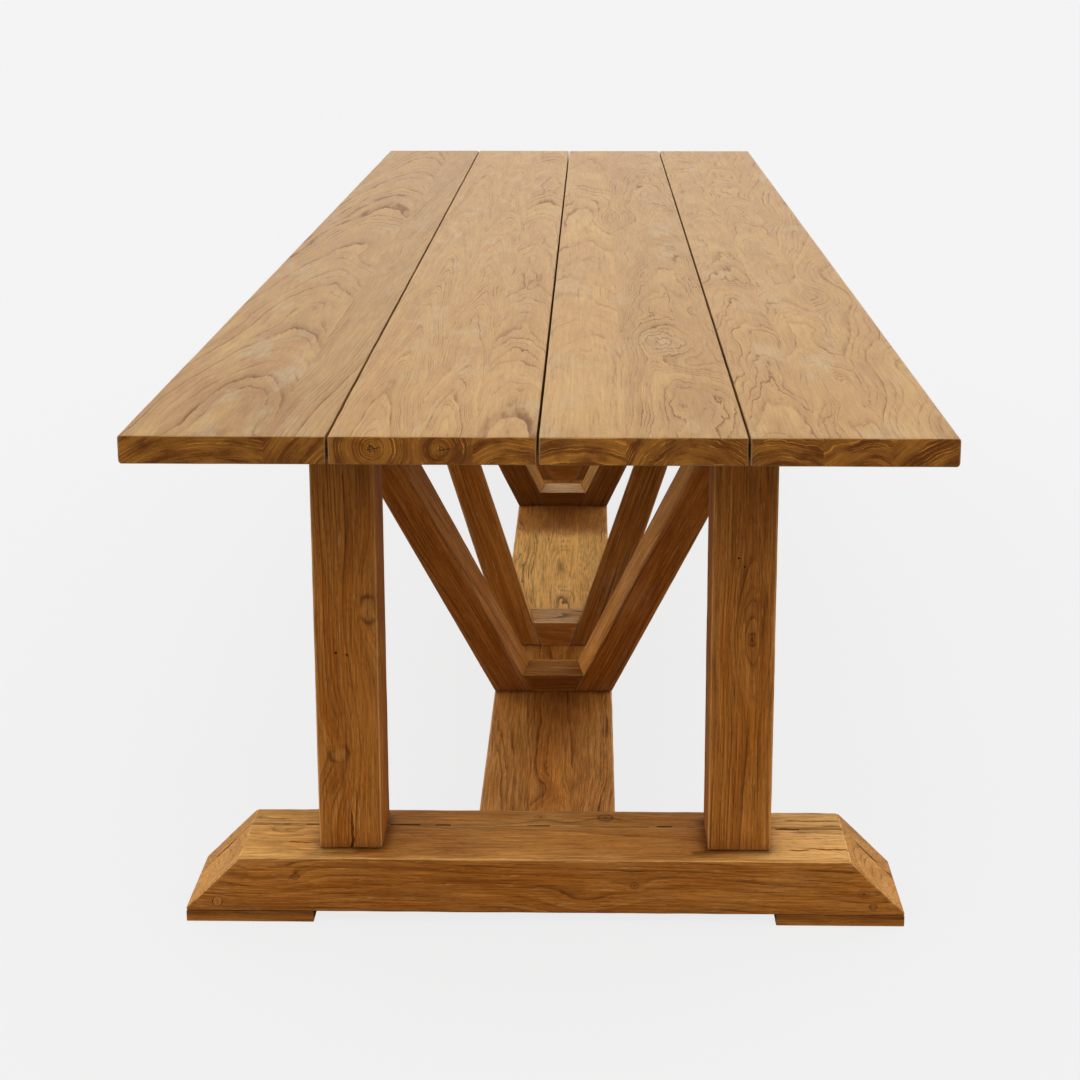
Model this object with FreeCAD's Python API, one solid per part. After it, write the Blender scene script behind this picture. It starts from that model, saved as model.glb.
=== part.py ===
import FreeCAD, Part
import math
import os

from FreeCAD import Vector

# Trestle dining table with a plank top, two footed trestles, a low stretcher and four V braces.
# Millimetres and degrees. +Z is up, the length lies along Y, the near end is at -Y and the
# origin is on the floor under the middle of the table.

# Top
table_length = 2800.0
table_width = 1000.0
table_height = 770.0
plank_count = 4
plank_thickness = 35.0
plank_gap = 3.0
plank_edge_radius = 3.0

# Beams under the top: a cap beam over each trestle and a bearer over each brace
bearer_inset = 50.0
bearer_height = 65.0
bearer_width = 100.0
end_bearer_gap = 149.0
centre_bearer_gap = 120.0
bearer_edge_radius = 3.0

# Trestle posts
post_width = 88.0
post_spacing = 542.0
post_edge_radius = 3.0
post_tenon_width = 40.0
post_tenon_length = 40.0

# Trestle feet, each an outer and an inner beam glued face to face
foot_overhang = 225.0
foot_length = 1000.0
foot_height = 82.0
foot_nose_height = 5.0
outer_beam_depth = 91.0
inner_beam_depth = 45.0
post_setback = 24.0
pad_length = 178.0
pad_height = 16.0

# Stretcher
stretcher_width = 200.0
stretcher_thickness = 48.0
stretcher_drop = 10.0
stretcher_edge_radius = 3.0
stretcher_tenon_width = 140.0
stretcher_tenon_thickness = 24.0
stretcher_tenon_length = 30.0

# V braces, in two pairs that lean apart
brace_base_gap = 126.0
brace_splay = 21.4
brace_leg_width = 60.0
brace_leg_thickness = 60.0
sill_height = 38.0

# Fasteners
screw_diameter = 6.0
lag_diameter = 8.0
head_width_ratio = 2.0
head_height_ratio = 0.6
sunk_head_depth = 6.0
screw_bite = 22.0
long_screw_bite = 45.0
plank_screw_counterbore = 25.0
plank_screw_spacing = 80.0
plank_screw_stagger = 30.0
lag_counterbore = 20.0
base_screw_counterbore = 12.0
tenon_screw_counterbore = 10.0
tenon_screw_spacing = 90.0
pad_screw_spacing = 60.0
pad_screw_margin = 28.0
plug_diameter = 13.0
plug_length = 10.0
plug_end_distance = 44.0
plug_height = 14.0
dowel_diameter = 10.0
dowel_length = 44.0

# Clearances
tenon_clearance = 0.2
screw_clearance = 0.15
dowel_clearance = 0.1

# Places worked out from the dimensions
PARALLEL_ANGLE = 0.001
UP = Vector(0, 0, 1)
DOWN = Vector(0, 0, -1)
LEFT = -1
RIGHT = 1
NEAR = -1
FAR = 1
SIDES = {"left": LEFT, "right": RIGHT}
ENDS = {"near": NEAR, "far": FAR}

bearer_length = table_width - 2 * bearer_inset
top_underside = table_height - plank_thickness
bearer_underside = top_underside - bearer_height
foot_top = pad_height + foot_height
stretcher_top = foot_top - stretcher_drop
stretcher_underside = stretcher_top - stretcher_thickness
plank_width = (table_width - (plank_count - 1) * plank_gap) / plank_count

foot_outer_y = table_length / 2 - foot_overhang
glue_line_y = foot_outer_y - outer_beam_depth
foot_inner_y = glue_line_y - inner_beam_depth
post_y = foot_outer_y - post_setback - post_width / 2

# The bearers over a pair of braces, as distances from the middle of the table
end_bearer_y = post_y - post_width / 2 - end_bearer_gap - bearer_width / 2
centre_bearer_y = centre_bearer_gap / 2 + bearer_width / 2
pair_middle_y = (end_bearer_y + centre_bearer_y) / 2

# A leg's level depth grows with its lean, so the run from its foot to its bearer is the lower root of
# (reach - run)^2 = half_leg^2 * (1 + (run / rise)^2)
brace_rise = bearer_underside - stretcher_top
half_leg = brace_leg_thickness / 2
reach = (end_bearer_y - centre_bearer_y) / 2 - brace_base_gap / 2
leg_share = (half_leg / brace_rise) ** 2
lean_run = (reach - math.sqrt(leg_share * reach**2 + (1 - leg_share) * half_leg**2)) / (1 - leg_share)
lean_slope = lean_run / brace_rise
lean_cos = 1 / math.hypot(1, lean_slope)
lean_sin = lean_slope * lean_cos
splay_slope = math.tan(math.radians(brace_splay))
face_slope = splay_slope * lean_cos
leg_level_width = brace_leg_width * math.hypot(1, face_slope)
leg_level_depth = brace_leg_thickness / lean_cos
brace_half_base = brace_base_gap / 2 + leg_level_depth

# Each brace leans towards one end, from the level line where its outer face stands on the stretcher
BRACES = {
    "brace_1": (NEAR, -pair_middle_y - brace_half_base),
    "brace_2": (FAR, -pair_middle_y + brace_half_base),
    "brace_3": (NEAR, pair_middle_y - brace_half_base),
    "brace_4": (FAR, pair_middle_y + brace_half_base),
}

wood = {}
hardware = {}


def block(x_ends, y_ends, z_ends):
    """A box between two values on each axis, given in either order."""
    low = Vector(min(x_ends), min(y_ends), min(z_ends))
    high = Vector(max(x_ends), max(y_ends), max(z_ends))
    size = high - low
    return Part.makeBox(size.x, size.y, size.z, low)


def runs_along(edge, direction):
    return edge.tangentAt(edge.FirstParameter).isParallel(direction, PARALLEL_ANGLE)


def eased(shape, radius, along=None):
    """Round a board's edges, or only those that run along one direction."""
    edges = shape.Edges
    if along is not None:
        edges = [edge for edge in edges if runs_along(edge, along)]
    return shape.makeFillet(radius, edges)


def centred(middle, size):
    return (middle - size / 2, middle + size / 2)


def joined(body, additions):
    return body.fuse(additions).removeSplitter()


def screw(seat, direction, diameter, length):
    """A round headed screw whose head bears on the seat point."""
    head = Part.makeCylinder(
        diameter * head_width_ratio / 2, diameter * head_height_ratio, seat, direction * -1
    )
    shank = Part.makeCylinder(diameter / 2, length, seat, direction)
    return joined(head, [shank])


def screw_hole(seat, direction, diameter, length, counterbore):
    """The hole for a screw, with a counterbore from the seat back out to the surface."""
    mouth = Part.makeCylinder(
        diameter * head_width_ratio / 2 + screw_clearance, counterbore, seat, direction * -1
    )
    hole = Part.makeCylinder(diameter / 2 + screw_clearance, length + screw_clearance, seat, direction)
    return joined(mouth, [hole])


def drill(cutters):
    """Cut holes out of every wooden piece that they reach."""
    for name, shape in wood.items():
        reached = [cutter for cutter in cutters if cutter.BoundBox.intersect(shape.BoundBox)]
        if reached:
            wood[name] = shape.cut(reached)


def drive_screws(node, seats, direction, diameter, length, counterbore):
    """Add a group of equal screws and drill for them."""
    hardware[node] = [screw(seat, direction, diameter, length) for seat in seats]
    drill([screw_hole(seat, direction, diameter, length, counterbore) for seat in seats])


# Top planks
plank_centres = []
for index in range(plank_count):
    plank_x = -table_width / 2 + index * (plank_width + plank_gap) + plank_width / 2
    plank_centres.append(plank_x)
    plank = block(
        centred(plank_x, plank_width), centred(0, table_length), (top_underside, table_height)
    )
    wood["top_plank_%d" % (index + 1)] = eased(plank, plank_edge_radius)


# Beams under the planks
def brace_face_y(brace, height):
    """Where a brace's outer face is, at a height above the floor."""
    lean, base_y = BRACES[brace]
    return base_y + lean * lean_slope * (height - stretcher_top)


def brace_middle_y(brace, height):
    lean = BRACES[brace][0]
    return brace_face_y(brace, height) - lean * leg_level_depth / 2


def cross_beam(middle_y, width):
    beam = block(centred(0, bearer_length), centred(middle_y, width), (bearer_underside, top_underside))
    return eased(beam, bearer_edge_radius)


beam_places = {}
for end_name, end in ENDS.items():
    beam_places[end_name + "_cap_beam"] = (end * post_y, post_width)
for brace in BRACES:
    beam_places[brace + "_bearer"] = (brace_middle_y(brace, bearer_underside), bearer_width)
for beam_name, (beam_y, beam_width) in beam_places.items():
    wood[beam_name] = cross_beam(beam_y, beam_width)


# Feet, posts and pads
def foot_beam(y_ends):
    """A beam with long bevelled ends that stop short of its underside."""
    half = foot_length / 2
    bevel = foot_height - foot_nose_height
    nose_top = pad_height + foot_nose_height
    outline = [
        (-half, pad_height),
        (half, pad_height),
        (half, nose_top),
        (half - bevel, foot_top),
        (-half + bevel, foot_top),
        (-half, nose_top),
    ]
    points = [Vector(x, min(y_ends), z) for x, z in outline]
    face = Part.Face(Part.makePolygon(points + points[:1]))
    return face.extrude(Vector(0, max(y_ends) - min(y_ends), 0))


def post_tenon(x, y, z_ends, clearance):
    width = post_tenon_width + 2 * clearance
    return block(centred(x, width), centred(y, width), z_ends)


for end_name, end in ENDS.items():
    wood[end_name + "_foot_outer_beam"] = foot_beam((end * foot_outer_y, end * glue_line_y))
    wood[end_name + "_foot_inner_beam"] = foot_beam((end * glue_line_y, end * foot_inner_y))
    for side_name, side in SIDES.items():
        post_x = side * post_spacing / 2
        body = block(
            centred(post_x, post_width), centred(end * post_y, post_width), (foot_top, bearer_underside)
        )
        low_end = foot_top - post_tenon_length
        high_end = bearer_underside + post_tenon_length
        tenons = [
            post_tenon(post_x, end * post_y, (low_end, foot_top), 0),
            post_tenon(post_x, end * post_y, (bearer_underside, high_end), 0),
        ]
        mortises = [
            post_tenon(post_x, end * post_y, (low_end - tenon_clearance, foot_top), tenon_clearance),
            post_tenon(post_x, end * post_y, (bearer_underside, high_end + tenon_clearance), tenon_clearance),
        ]
        drill(mortises)
        wood["%s_%s_post" % (end_name, side_name)] = joined(eased(body, post_edge_radius, UP), tenons)
        pad_outer_x = side * foot_length / 2
        wood["%s_%s_pad" % (end_name, side_name)] = block(
            (pad_outer_x, pad_outer_x - side * pad_length),
            (end * foot_outer_y, end * foot_inner_y),
            (0, pad_height),
        )

# Stretcher
stretcher_middle_z = (stretcher_top + stretcher_underside) / 2


def stretcher_tenon(end, clearance):
    tip_y = foot_inner_y + stretcher_tenon_length + clearance
    return block(
        centred(0, stretcher_tenon_width + 2 * clearance),
        (end * foot_inner_y, end * tip_y),
        centred(stretcher_middle_z, stretcher_tenon_thickness + 2 * clearance),
    )


stretcher_board = block(
    centred(0, stretcher_width), centred(0, 2 * foot_inner_y), (stretcher_underside, stretcher_top)
)
drill([stretcher_tenon(end, tenon_clearance) for end in ENDS.values()])
wood["stretcher"] = joined(
    eased(stretcher_board, stretcher_edge_radius, Vector(0, 1, 0)),
    [stretcher_tenon(end, 0) for end in ENDS.values()],
)


# V braces
def leaning_prism(brace, corners):
    """A board in the brace's leaning plane, from corners given across and up its outer face."""
    lean, base_y = BRACES[brace]
    origin = Vector(0, base_y, stretcher_top)
    up_face = Vector(0, lean * lean_sin, lean_cos)
    into_board = Vector(0, -lean * lean_cos, lean_sin)
    points = [origin + Vector(across, 0, 0) + up_face * up for across, up in corners]
    face = Part.Face(Part.makePolygon(points + points[:1]))
    return face.extrude(into_board * brace_leg_thickness)


def level_slab(z_ends):
    return block(centred(0, 2 * table_width), centred(0, 2 * table_length), z_ends)


def leg_outer_x(up):
    return stretcher_width / 2 + face_slope * up


def leg_inner_x(up):
    return leg_outer_x(up) - leg_level_width


spare = brace_leg_thickness
leg_foot = -spare
leg_head = brace_rise / lean_cos + spare
sill_head = sill_height / lean_cos + spare
for brace in BRACES:
    for side_name, side in SIDES.items():
        leg_corners = [
            (side * leg_outer_x(leg_foot), leg_foot),
            (side * leg_outer_x(leg_head), leg_head),
            (side * leg_inner_x(leg_head), leg_head),
            (side * leg_inner_x(leg_foot), leg_foot),
        ]
        leg = leaning_prism(brace, leg_corners).common(level_slab((stretcher_top, bearer_underside)))
        wood["%s_%s_leg" % (brace, side_name)] = leg
    sill_corners = [
        (LEFT * leg_inner_x(leg_foot), leg_foot),
        (RIGHT * leg_inner_x(leg_foot), leg_foot),
        (RIGHT * leg_inner_x(sill_head), sill_head),
        (LEFT * leg_inner_x(sill_head), sill_head),
    ]
    sill_slab = level_slab((stretcher_top, stretcher_top + sill_height))
    wood[brace + "_sill"] = leaning_prism(brace, sill_corners).common(sill_slab)


def leg_middle_x(height):
    """The middle of a leg's width, half way through its thickness, at a height above the floor."""
    up = (height - stretcher_top - brace_leg_thickness / 2 * lean_sin) / lean_cos
    return leg_outer_x(up) - leg_level_width / 2


# Screws through the beams up into the planks
plank_seat_z = bearer_underside + plank_screw_counterbore
plank_seats = [
    Vector(plank_x + side * plank_screw_spacing / 2, beam_y + side * plank_screw_stagger, plank_seat_z)
    for beam_y, beam_width in beam_places.values()
    for plank_x in plank_centres
    for side in SIDES.values()
]
plank_screw_length = top_underside + screw_bite - plank_seat_z
drive_screws("plank_screws", plank_seats, UP, screw_diameter, plank_screw_length, plank_screw_counterbore)

# Screws down through the cap beams into the posts, and through the bearers into the brace legs
sunk_seat_z = top_underside - sunk_head_depth
sunk_screw_length = sunk_seat_z - bearer_underside + long_screw_bite
post_places = [
    Vector(side * post_spacing / 2, end * post_y, 0) for end in ENDS.values() for side in SIDES.values()
]
cap_seats = [place + UP * sunk_seat_z for place in post_places]
drive_screws("cap_screws", cap_seats, DOWN, screw_diameter, sunk_screw_length, sunk_head_depth)

leg_bite_z = bearer_underside - long_screw_bite / 2
brace_top_seats = [
    Vector(side * leg_middle_x(leg_bite_z), brace_middle_y(brace, leg_bite_z), sunk_seat_z)
    for brace in BRACES
    for side in SIDES.values()
]
drive_screws("brace_top_screws", brace_top_seats, DOWN, screw_diameter, sunk_screw_length, sunk_head_depth)

# Lag screws up through the feet into the posts
lag_seats = [place + UP * (pad_height + lag_counterbore) for place in post_places]
lag_length = foot_height - lag_counterbore + long_screw_bite
drive_screws("post_lag_screws", lag_seats, UP, lag_diameter, lag_length, lag_counterbore)

# Screws up through the stretcher into each brace's sill and legs
base_bite_z = stretcher_top + screw_bite / 2
base_seat_z = stretcher_underside + base_screw_counterbore
base_seats = [
    Vector(side * leg_middle_x(base_bite_z), brace_middle_y(brace, base_bite_z), base_seat_z)
    for brace in BRACES
    for side in (LEFT, 0, RIGHT)
]
base_screw_length = stretcher_top + screw_bite - base_seat_z
drive_screws("brace_base_screws", base_seats, UP, screw_diameter, base_screw_length, base_screw_counterbore)

# Dowels from each sill into its legs
sill_middle_z = stretcher_top + sill_height - dowel_diameter
sill_joint_x = leg_middle_x(sill_middle_z) - leg_level_width / 2
hardware["sill_dowels"] = []
dowel_holes = []
for brace in BRACES:
    for side in SIDES.values():
        middle = Vector(side * sill_joint_x, brace_middle_y(brace, sill_middle_z), sill_middle_z)
        start = middle - Vector(dowel_length / 2, 0, 0)
        hardware["sill_dowels"].append(
            Part.makeCylinder(dowel_diameter / 2, dowel_length, start, Vector(1, 0, 0))
        )
        dowel_holes.append(
            Part.makeCylinder(
                dowel_diameter / 2 + dowel_clearance,
                dowel_length + 2 * dowel_clearance,
                start - Vector(dowel_clearance, 0, 0),
                Vector(1, 0, 0),
            )
        )
drill(dowel_holes)

# Screws up through the pads into the outer foot beams
pad_seat_z = sunk_head_depth
pad_screw_length = pad_height - pad_seat_z + screw_bite
pad_screw_y = foot_outer_y - outer_beam_depth / 2
pad_inner_x = foot_length / 2 - pad_length
pad_seats = [
    Vector(side * (pad_inner_x + pad_screw_margin + step * pad_screw_spacing), end * pad_screw_y, pad_seat_z)
    for end in ENDS.values()
    for side in SIDES.values()
    for step in (0, 1)
]
drive_screws("pad_screws", pad_seats, UP, screw_diameter, pad_screw_length, sunk_head_depth)

# Screws up through the inner foot beams into the stretcher's tenons
tenon_seat_z = pad_height + tenon_screw_counterbore
tenon_screw_tip_z = stretcher_middle_z + stretcher_tenon_thickness / 4
tenon_seats = [
    Vector(shift, end * (foot_inner_y + stretcher_tenon_length / 2), tenon_seat_z)
    for end in ENDS.values()
    for shift in centred(0, tenon_screw_spacing)
]
tenon_screw_length = tenon_screw_tip_z - tenon_seat_z
drive_screws(
    "stretcher_screws", tenon_seats, UP, screw_diameter, tenon_screw_length, tenon_screw_counterbore
)

# Plugged screws that hold each inner foot beam to its outer beam
hardware["foot_screws"] = []
hardware["foot_plugs"] = []
foot_holes = []
plug_seat_depth = plug_length + screw_diameter * head_height_ratio
foot_screw_length = outer_beam_depth - plug_seat_depth + screw_bite
for end in ENDS.values():
    inward = Vector(0, -end, 0)
    for side in SIDES.values():
        plug_face = Vector(
            side * (foot_length / 2 - plug_end_distance), end * foot_outer_y, pad_height + plug_height
        )
        seat = plug_face + inward * plug_seat_depth
        hardware["foot_screws"].append(screw(seat, inward, screw_diameter, foot_screw_length))
        hardware["foot_plugs"].append(Part.makeCylinder(plug_diameter / 2, plug_length, plug_face, inward))
        foot_holes.append(screw_hole(seat, inward, screw_diameter, foot_screw_length, plug_seat_depth))
        foot_holes.append(
            Part.makeCylinder(plug_diameter / 2 + dowel_clearance, plug_seat_depth, plug_face, inward)
        )
drill(foot_holes)

# One file for each node
os.makedirs("parts", exist_ok=True)
for name, shape in wood.items():
    shape.exportStep("parts/%s.step" % name)
for name, shapes in hardware.items():
    Part.makeCompound(shapes).exportStep("parts/%s.step" % name)
print(len(wood), "wooden pieces and", len(hardware), "groups of fasteners")
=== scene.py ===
# %% [markdown]
# A trestle dining table in oiled, reclaimed teak.
# Four long planks lie on cap beams and bearers. Four square posts stand on two heavy feet,
# a low stretcher joins the feet, and four V braces lean out from the stretcher to the top.
# The measured model comes first. Every board below is modelled over the piece it stands for,
# so the table keeps its size and its joints.

# %% Load the measured model
import bpy
import bmesh
import math
import numpy as np
from mathutils import Matrix, Vector


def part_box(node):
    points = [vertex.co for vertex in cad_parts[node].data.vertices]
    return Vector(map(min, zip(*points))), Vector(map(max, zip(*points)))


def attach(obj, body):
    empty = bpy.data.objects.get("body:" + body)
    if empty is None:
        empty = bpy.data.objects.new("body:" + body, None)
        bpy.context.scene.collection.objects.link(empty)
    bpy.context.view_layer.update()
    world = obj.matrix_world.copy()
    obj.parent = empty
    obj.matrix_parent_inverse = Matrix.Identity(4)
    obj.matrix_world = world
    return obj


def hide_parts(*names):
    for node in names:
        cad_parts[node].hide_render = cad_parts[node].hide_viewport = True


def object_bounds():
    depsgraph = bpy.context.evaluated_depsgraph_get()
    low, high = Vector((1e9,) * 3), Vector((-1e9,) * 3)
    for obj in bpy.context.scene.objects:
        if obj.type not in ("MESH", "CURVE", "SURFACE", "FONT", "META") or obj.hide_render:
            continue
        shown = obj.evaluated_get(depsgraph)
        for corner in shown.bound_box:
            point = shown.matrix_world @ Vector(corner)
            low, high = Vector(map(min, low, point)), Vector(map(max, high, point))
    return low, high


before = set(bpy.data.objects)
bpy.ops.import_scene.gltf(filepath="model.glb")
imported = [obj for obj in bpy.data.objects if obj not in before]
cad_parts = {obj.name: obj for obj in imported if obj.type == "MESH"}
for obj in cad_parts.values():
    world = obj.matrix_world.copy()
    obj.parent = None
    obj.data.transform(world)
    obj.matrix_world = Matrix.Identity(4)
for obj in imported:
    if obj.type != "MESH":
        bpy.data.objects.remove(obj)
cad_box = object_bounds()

X = Vector((1, 0, 0))
Y = Vector((0, 1, 0))
Z = Vector((0, 0, 1))
print("measured pieces:", len(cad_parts), "box:", cad_box)

# %% [markdown]
# The table is seen from one end, a little above its top. A lens of middling length keeps the
# long top from running away too fast. The camera looks down only slightly, so the frame is
# shifted to bring the feet into the picture without tipping the posts.

# %% Set up the camera
LENS = 57.0
EYE = Vector((0.0632, -3.3468, 1.3466))
LOOK_DOWN = 0.184
LOOK_LEFT = 0.014
SHIFT = (-0.0259, -0.2602)
camera_data = bpy.data.cameras.new("studio_camera")
camera_data.lens = LENS
camera_data.sensor_width = 36.0
camera_data.shift_x, camera_data.shift_y = SHIFT
camera = bpy.data.objects.new("studio_camera", camera_data)
camera.location = EYE
camera.rotation_euler = (math.pi / 2 - LOOK_DOWN, 0, LOOK_LEFT)
bpy.context.scene.collection.objects.link(camera)
bpy.context.scene.camera = camera
print("camera at", tuple(EYE), "lens", LENS)

# %% [markdown]
# Lights and finishes are built from shader nodes. Three small helpers keep that short: one adds
# a node and fills or links its inputs, one does a sum, and one makes a smooth step.

# %% Small helpers for nodes
def put(tree, kind, inputs=None, **settings):
    """Adds one node, sets its options, and fills or links its inputs."""
    node = tree.nodes.new(kind)
    for name, value in settings.items():
        setattr(node, name, value)
    for socket, value in (inputs or {}).items():
        if isinstance(value, bpy.types.NodeSocket):
            tree.links.new(value, node.inputs[socket])
        else:
            node.inputs[socket].default_value = value
    return node


def calc(tree, operation, first, second=0.0, third=0.0):
    """One sum."""
    values = {0: first, 1: second, 2: third}
    return put(tree, "ShaderNodeMath", values, operation=operation).outputs[0]


def ramp(tree, value, low, high, start=0.0, end=1.0):
    """A smooth step from one value to another."""
    values = {"Value": value, "From Min": low, "From Max": high, "To Min": start, "To Max": end}
    return put(tree, "ShaderNodeMapRange", values, interpolation_type="SMOOTHSTEP").outputs[0]


print("node helpers ready")

# %% [markdown]
# The backdrop is an even pale grey with no horizon and hardly a shadow. The light comes from a
# wide soft ceiling, from a low bright wall beyond the far end of the table and from a window on
# each side, so that whatever faces up is pale and the fronts of the posts are dark. All of it
# is painted on the world by direction, which needs no lamps and leaves no hard edges. Only the
# camera sees the plain backdrop instead of the lights.

# %% Light the studio
BACKDROP = 0.876
CEILING = 1.36
FAR_WALL = 2.5
LOW_GLOW = 0.12
LEFT_WINDOW = 1.3
RIGHT_WINDOW = 1.0
world = bpy.data.worlds.new("white_room")
world.use_nodes = True
room = world.node_tree
looking = put(room, "ShaderNodeTexCoord").outputs["Generated"]
across_room, along_room, up_room = put(room, "ShaderNodeSeparateXYZ", {0: looking}).outputs
low_part = ramp(room, up_room, 0.12, 0.3, 1.0, 0.0)
wall = calc(room, "MULTIPLY", ramp(room, along_room, 0.3, 0.9, 0.0, FAR_WALL), low_part)
left = ramp(room, across_room, -0.5, -0.95, 0.0, LEFT_WINDOW)
right = ramp(room, across_room, 0.5, 0.95, 0.0, RIGHT_WINDOW)
lights = ramp(room, up_room, 0.15, 0.6, LOW_GLOW, CEILING)
for light in (wall, left, right):
    lights = calc(room, "MAXIMUM", lights, light)
seen = put(room, "ShaderNodeLightPath").outputs["Is Camera Ray"]
brightness = put(room, "ShaderNodeMix", {0: seen, 2: lights, 3: BACKDROP}, data_type="FLOAT").outputs[0]
room.links.new(brightness, room.nodes["Background"].inputs["Strength"])
room.nodes["Background"].inputs["Color"].default_value = (1, 1, 1, 1)
bpy.context.scene.world = world
bpy.context.scene.view_settings.view_transform = "Standard"
print("ceiling", CEILING, "far wall", FAR_WALL, "backdrop", BACKDROP)

# %% [markdown]
# The floor is one wide plane. It glows a little for the camera, so that it melts into the
# backdrop and keeps only a faint shadow, but it throws little light back up at the table.

# %% Lay the floor
FLOOR_GLOW = 0.80
FLOOR_SHADOW = 0.08
FLOOR_BOUNCE = 0.22
bpy.ops.object.select_all(action="DESELECT")
bpy.ops.mesh.primitive_plane_add(size=160, location=(0, 0, -0.0006))
floor = bpy.context.object
floor.name = "studio_floor"
paint = bpy.data.materials.new("pale_floor")
paint.use_nodes = True
floor_tree = paint.node_tree
floor_shader = floor_tree.nodes["Principled BSDF"]
floor_shader.inputs["Roughness"].default_value = 1.0
floor_shader.inputs["Specular IOR Level"].default_value = 0.0
floor_shader.inputs["Emission Color"].default_value = (1, 1, 1, 1)
seen = put(floor_tree, "ShaderNodeLightPath").outputs["Is Camera Ray"]
glow = calc(floor_tree, "MULTIPLY", seen, FLOOR_GLOW)
shades = {0: seen, 2: FLOOR_BOUNCE, 3: FLOOR_SHADOW}
shade = put(floor_tree, "ShaderNodeMix", shades, data_type="FLOAT").outputs[0]
floor_tree.links.new(glow, floor_shader.inputs["Emission Strength"])
floor_tree.links.new(shade, floor_shader.inputs["Base Color"])
floor.data.materials.append(paint)
print("floor laid:", floor.name)

# %% [markdown]
# Every wooden piece starts as a squared length of timber and gets the same care at the bench:
# its edges are eased with a plane, then years of use leave it slightly uneven and knock its
# corners. The helpers below are those bench jobs. Edges are picked by their direction or by
# how sharp they are, because a new primitive has no names for its edges.

# %% Bench jobs: square up, take in hand, pick edges
def take(*boards):
    """Selects only these boards and makes the first one active."""
    bpy.ops.object.select_all(action="DESELECT")
    for board in boards:
        board.select_set(True)
    if boards:
        bpy.context.view_layer.objects.active = boards[0]


def rough_board(name, low, high):
    """Adds one squared length of timber between two opposite corners."""
    take()
    bpy.ops.mesh.primitive_cube_add(size=1)
    board = bpy.context.object
    board.name = name
    board.data.name = name
    board.location = (Vector(low) + Vector(high)) / 2
    board.scale = Vector(high) - Vector(low)
    bpy.ops.object.transform_apply(location=True, rotation=True, scale=True)
    return board


def pick_edges(board, wanted):
    """Selects, in edit mode, only the edges that pass the test."""
    bpy.ops.mesh.select_mode(type="EDGE")
    bpy.ops.mesh.select_all(action="DESELECT")
    shape = bmesh.from_edit_mesh(board.data)
    picked = [edge for edge in shape.edges if wanted(edge)]
    longest = max((edge.calc_length() for edge in picked), default=0)
    for edge in picked:
        edge.select_set(True)
    bmesh.update_edit_mesh(board.data)
    return longest


print("bench ready")

# %% Bench jobs: ease the edges, divide the faces
SHARP = 0.3
ROW = 0.011
MOST_CUTS = 100
LONG_ENOUGH = 1.6
ALIGNED = 0.62


def ease_edges(board, radius, steps=2):
    """Rounds every sharp edge and returns the plain sides' directions."""
    sides = [side.normal.copy() for side in board.data.polygons]
    bpy.ops.object.mode_set(mode="EDIT")
    pick_edges(board, lambda edge: edge.calc_face_angle(0) > SHARP)
    bpy.ops.mesh.bevel(offset=radius, segments=steps, profile=0.5, affect="EDGES")
    bpy.ops.object.mode_set(mode="OBJECT")
    return sides


def add_rows(board, direction, spacing=ROW, part=None):
    """Divides the edges that run along a direction, so that the faces can be uneven."""
    def runs_along(edge):
        run = edge.verts[1].co - edge.verts[0].co
        middle = (edge.verts[0].co + edge.verts[1].co) / 2
        if run.length < LONG_ENOUGH * spacing or abs(run.normalized().dot(direction)) < ALIGNED:
            return False
        return part is None or part(middle)

    bpy.ops.object.mode_set(mode="EDIT")
    longest = pick_edges(board, runs_along)
    cuts = min(MOST_CUTS, max(1, round(longest / spacing) - 1))
    if longest:
        bpy.ops.mesh.subdivide(number_cuts=cuts)
    bpy.ops.object.mode_set(mode="OBJECT")


print("easing and dividing ready")

# %% Bench jobs: read and note values on a mesh
def read(items, field, wide=3, kind=float):
    """Reads one field of all the points, faces or corners as rows of numbers."""
    values = np.empty(len(items) * wide, kind)
    items.foreach_get(field, values)
    return values.reshape(-1, wide) if wide > 1 else values


def note_values(mesh, name, kind, domain, values):
    """Stores one number or vector for each point, face or corner."""
    field = "vector" if kind == "FLOAT_VECTOR" else "value"
    note = mesh.attributes.new(name, kind, domain)
    note.data.foreach_set(field, np.ascontiguousarray(values, np.float32).ravel())


print("reading and noting ready")

# %% Bench jobs: mark the corners, weather the wood
NEAR_FLOOR = 0.03
ARRIS_FROM = 0.12
ARRIS_SPAN = 0.5
LONG_WAVES = 0.30
SHORT_WAVES = 0.05
KNOCK_SIZE = 0.045
KNOCK_LEVEL = 0.72


def mark_arris(board, sides):
    """Notes how much of a rounded corner each point is, for wear in shape, and in colour for a pale edge that
    is partly wear and partly a painted highlight.
    """
    mesh = board.data
    normals = read(mesh.vertices, "normal", kind=np.float32)
    facing = normals @ np.array(sides, np.float32).T
    turn = np.arccos(np.clip(facing.max(1), -1, 1))
    corner = np.clip((turn - ARRIS_FROM) / ARRIS_SPAN, 0, 1).astype(np.float32)
    heights = np.array([point.co.z for point in mesh.vertices], np.float32)
    # Edges near the floor get little of the pale edge, which is partly a painted highlight, and few knocks.
    corner *= np.where(heights < NEAR_FLOOR, 0.15, 1.0)
    note_values(mesh, "arris", "FLOAT", "POINT", corner)
    group = board.vertex_groups.new(name="arris")
    for index in np.flatnonzero(corner > 0.02):
        group.add([int(index)], float(corner[index]), "REPLACE")


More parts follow.
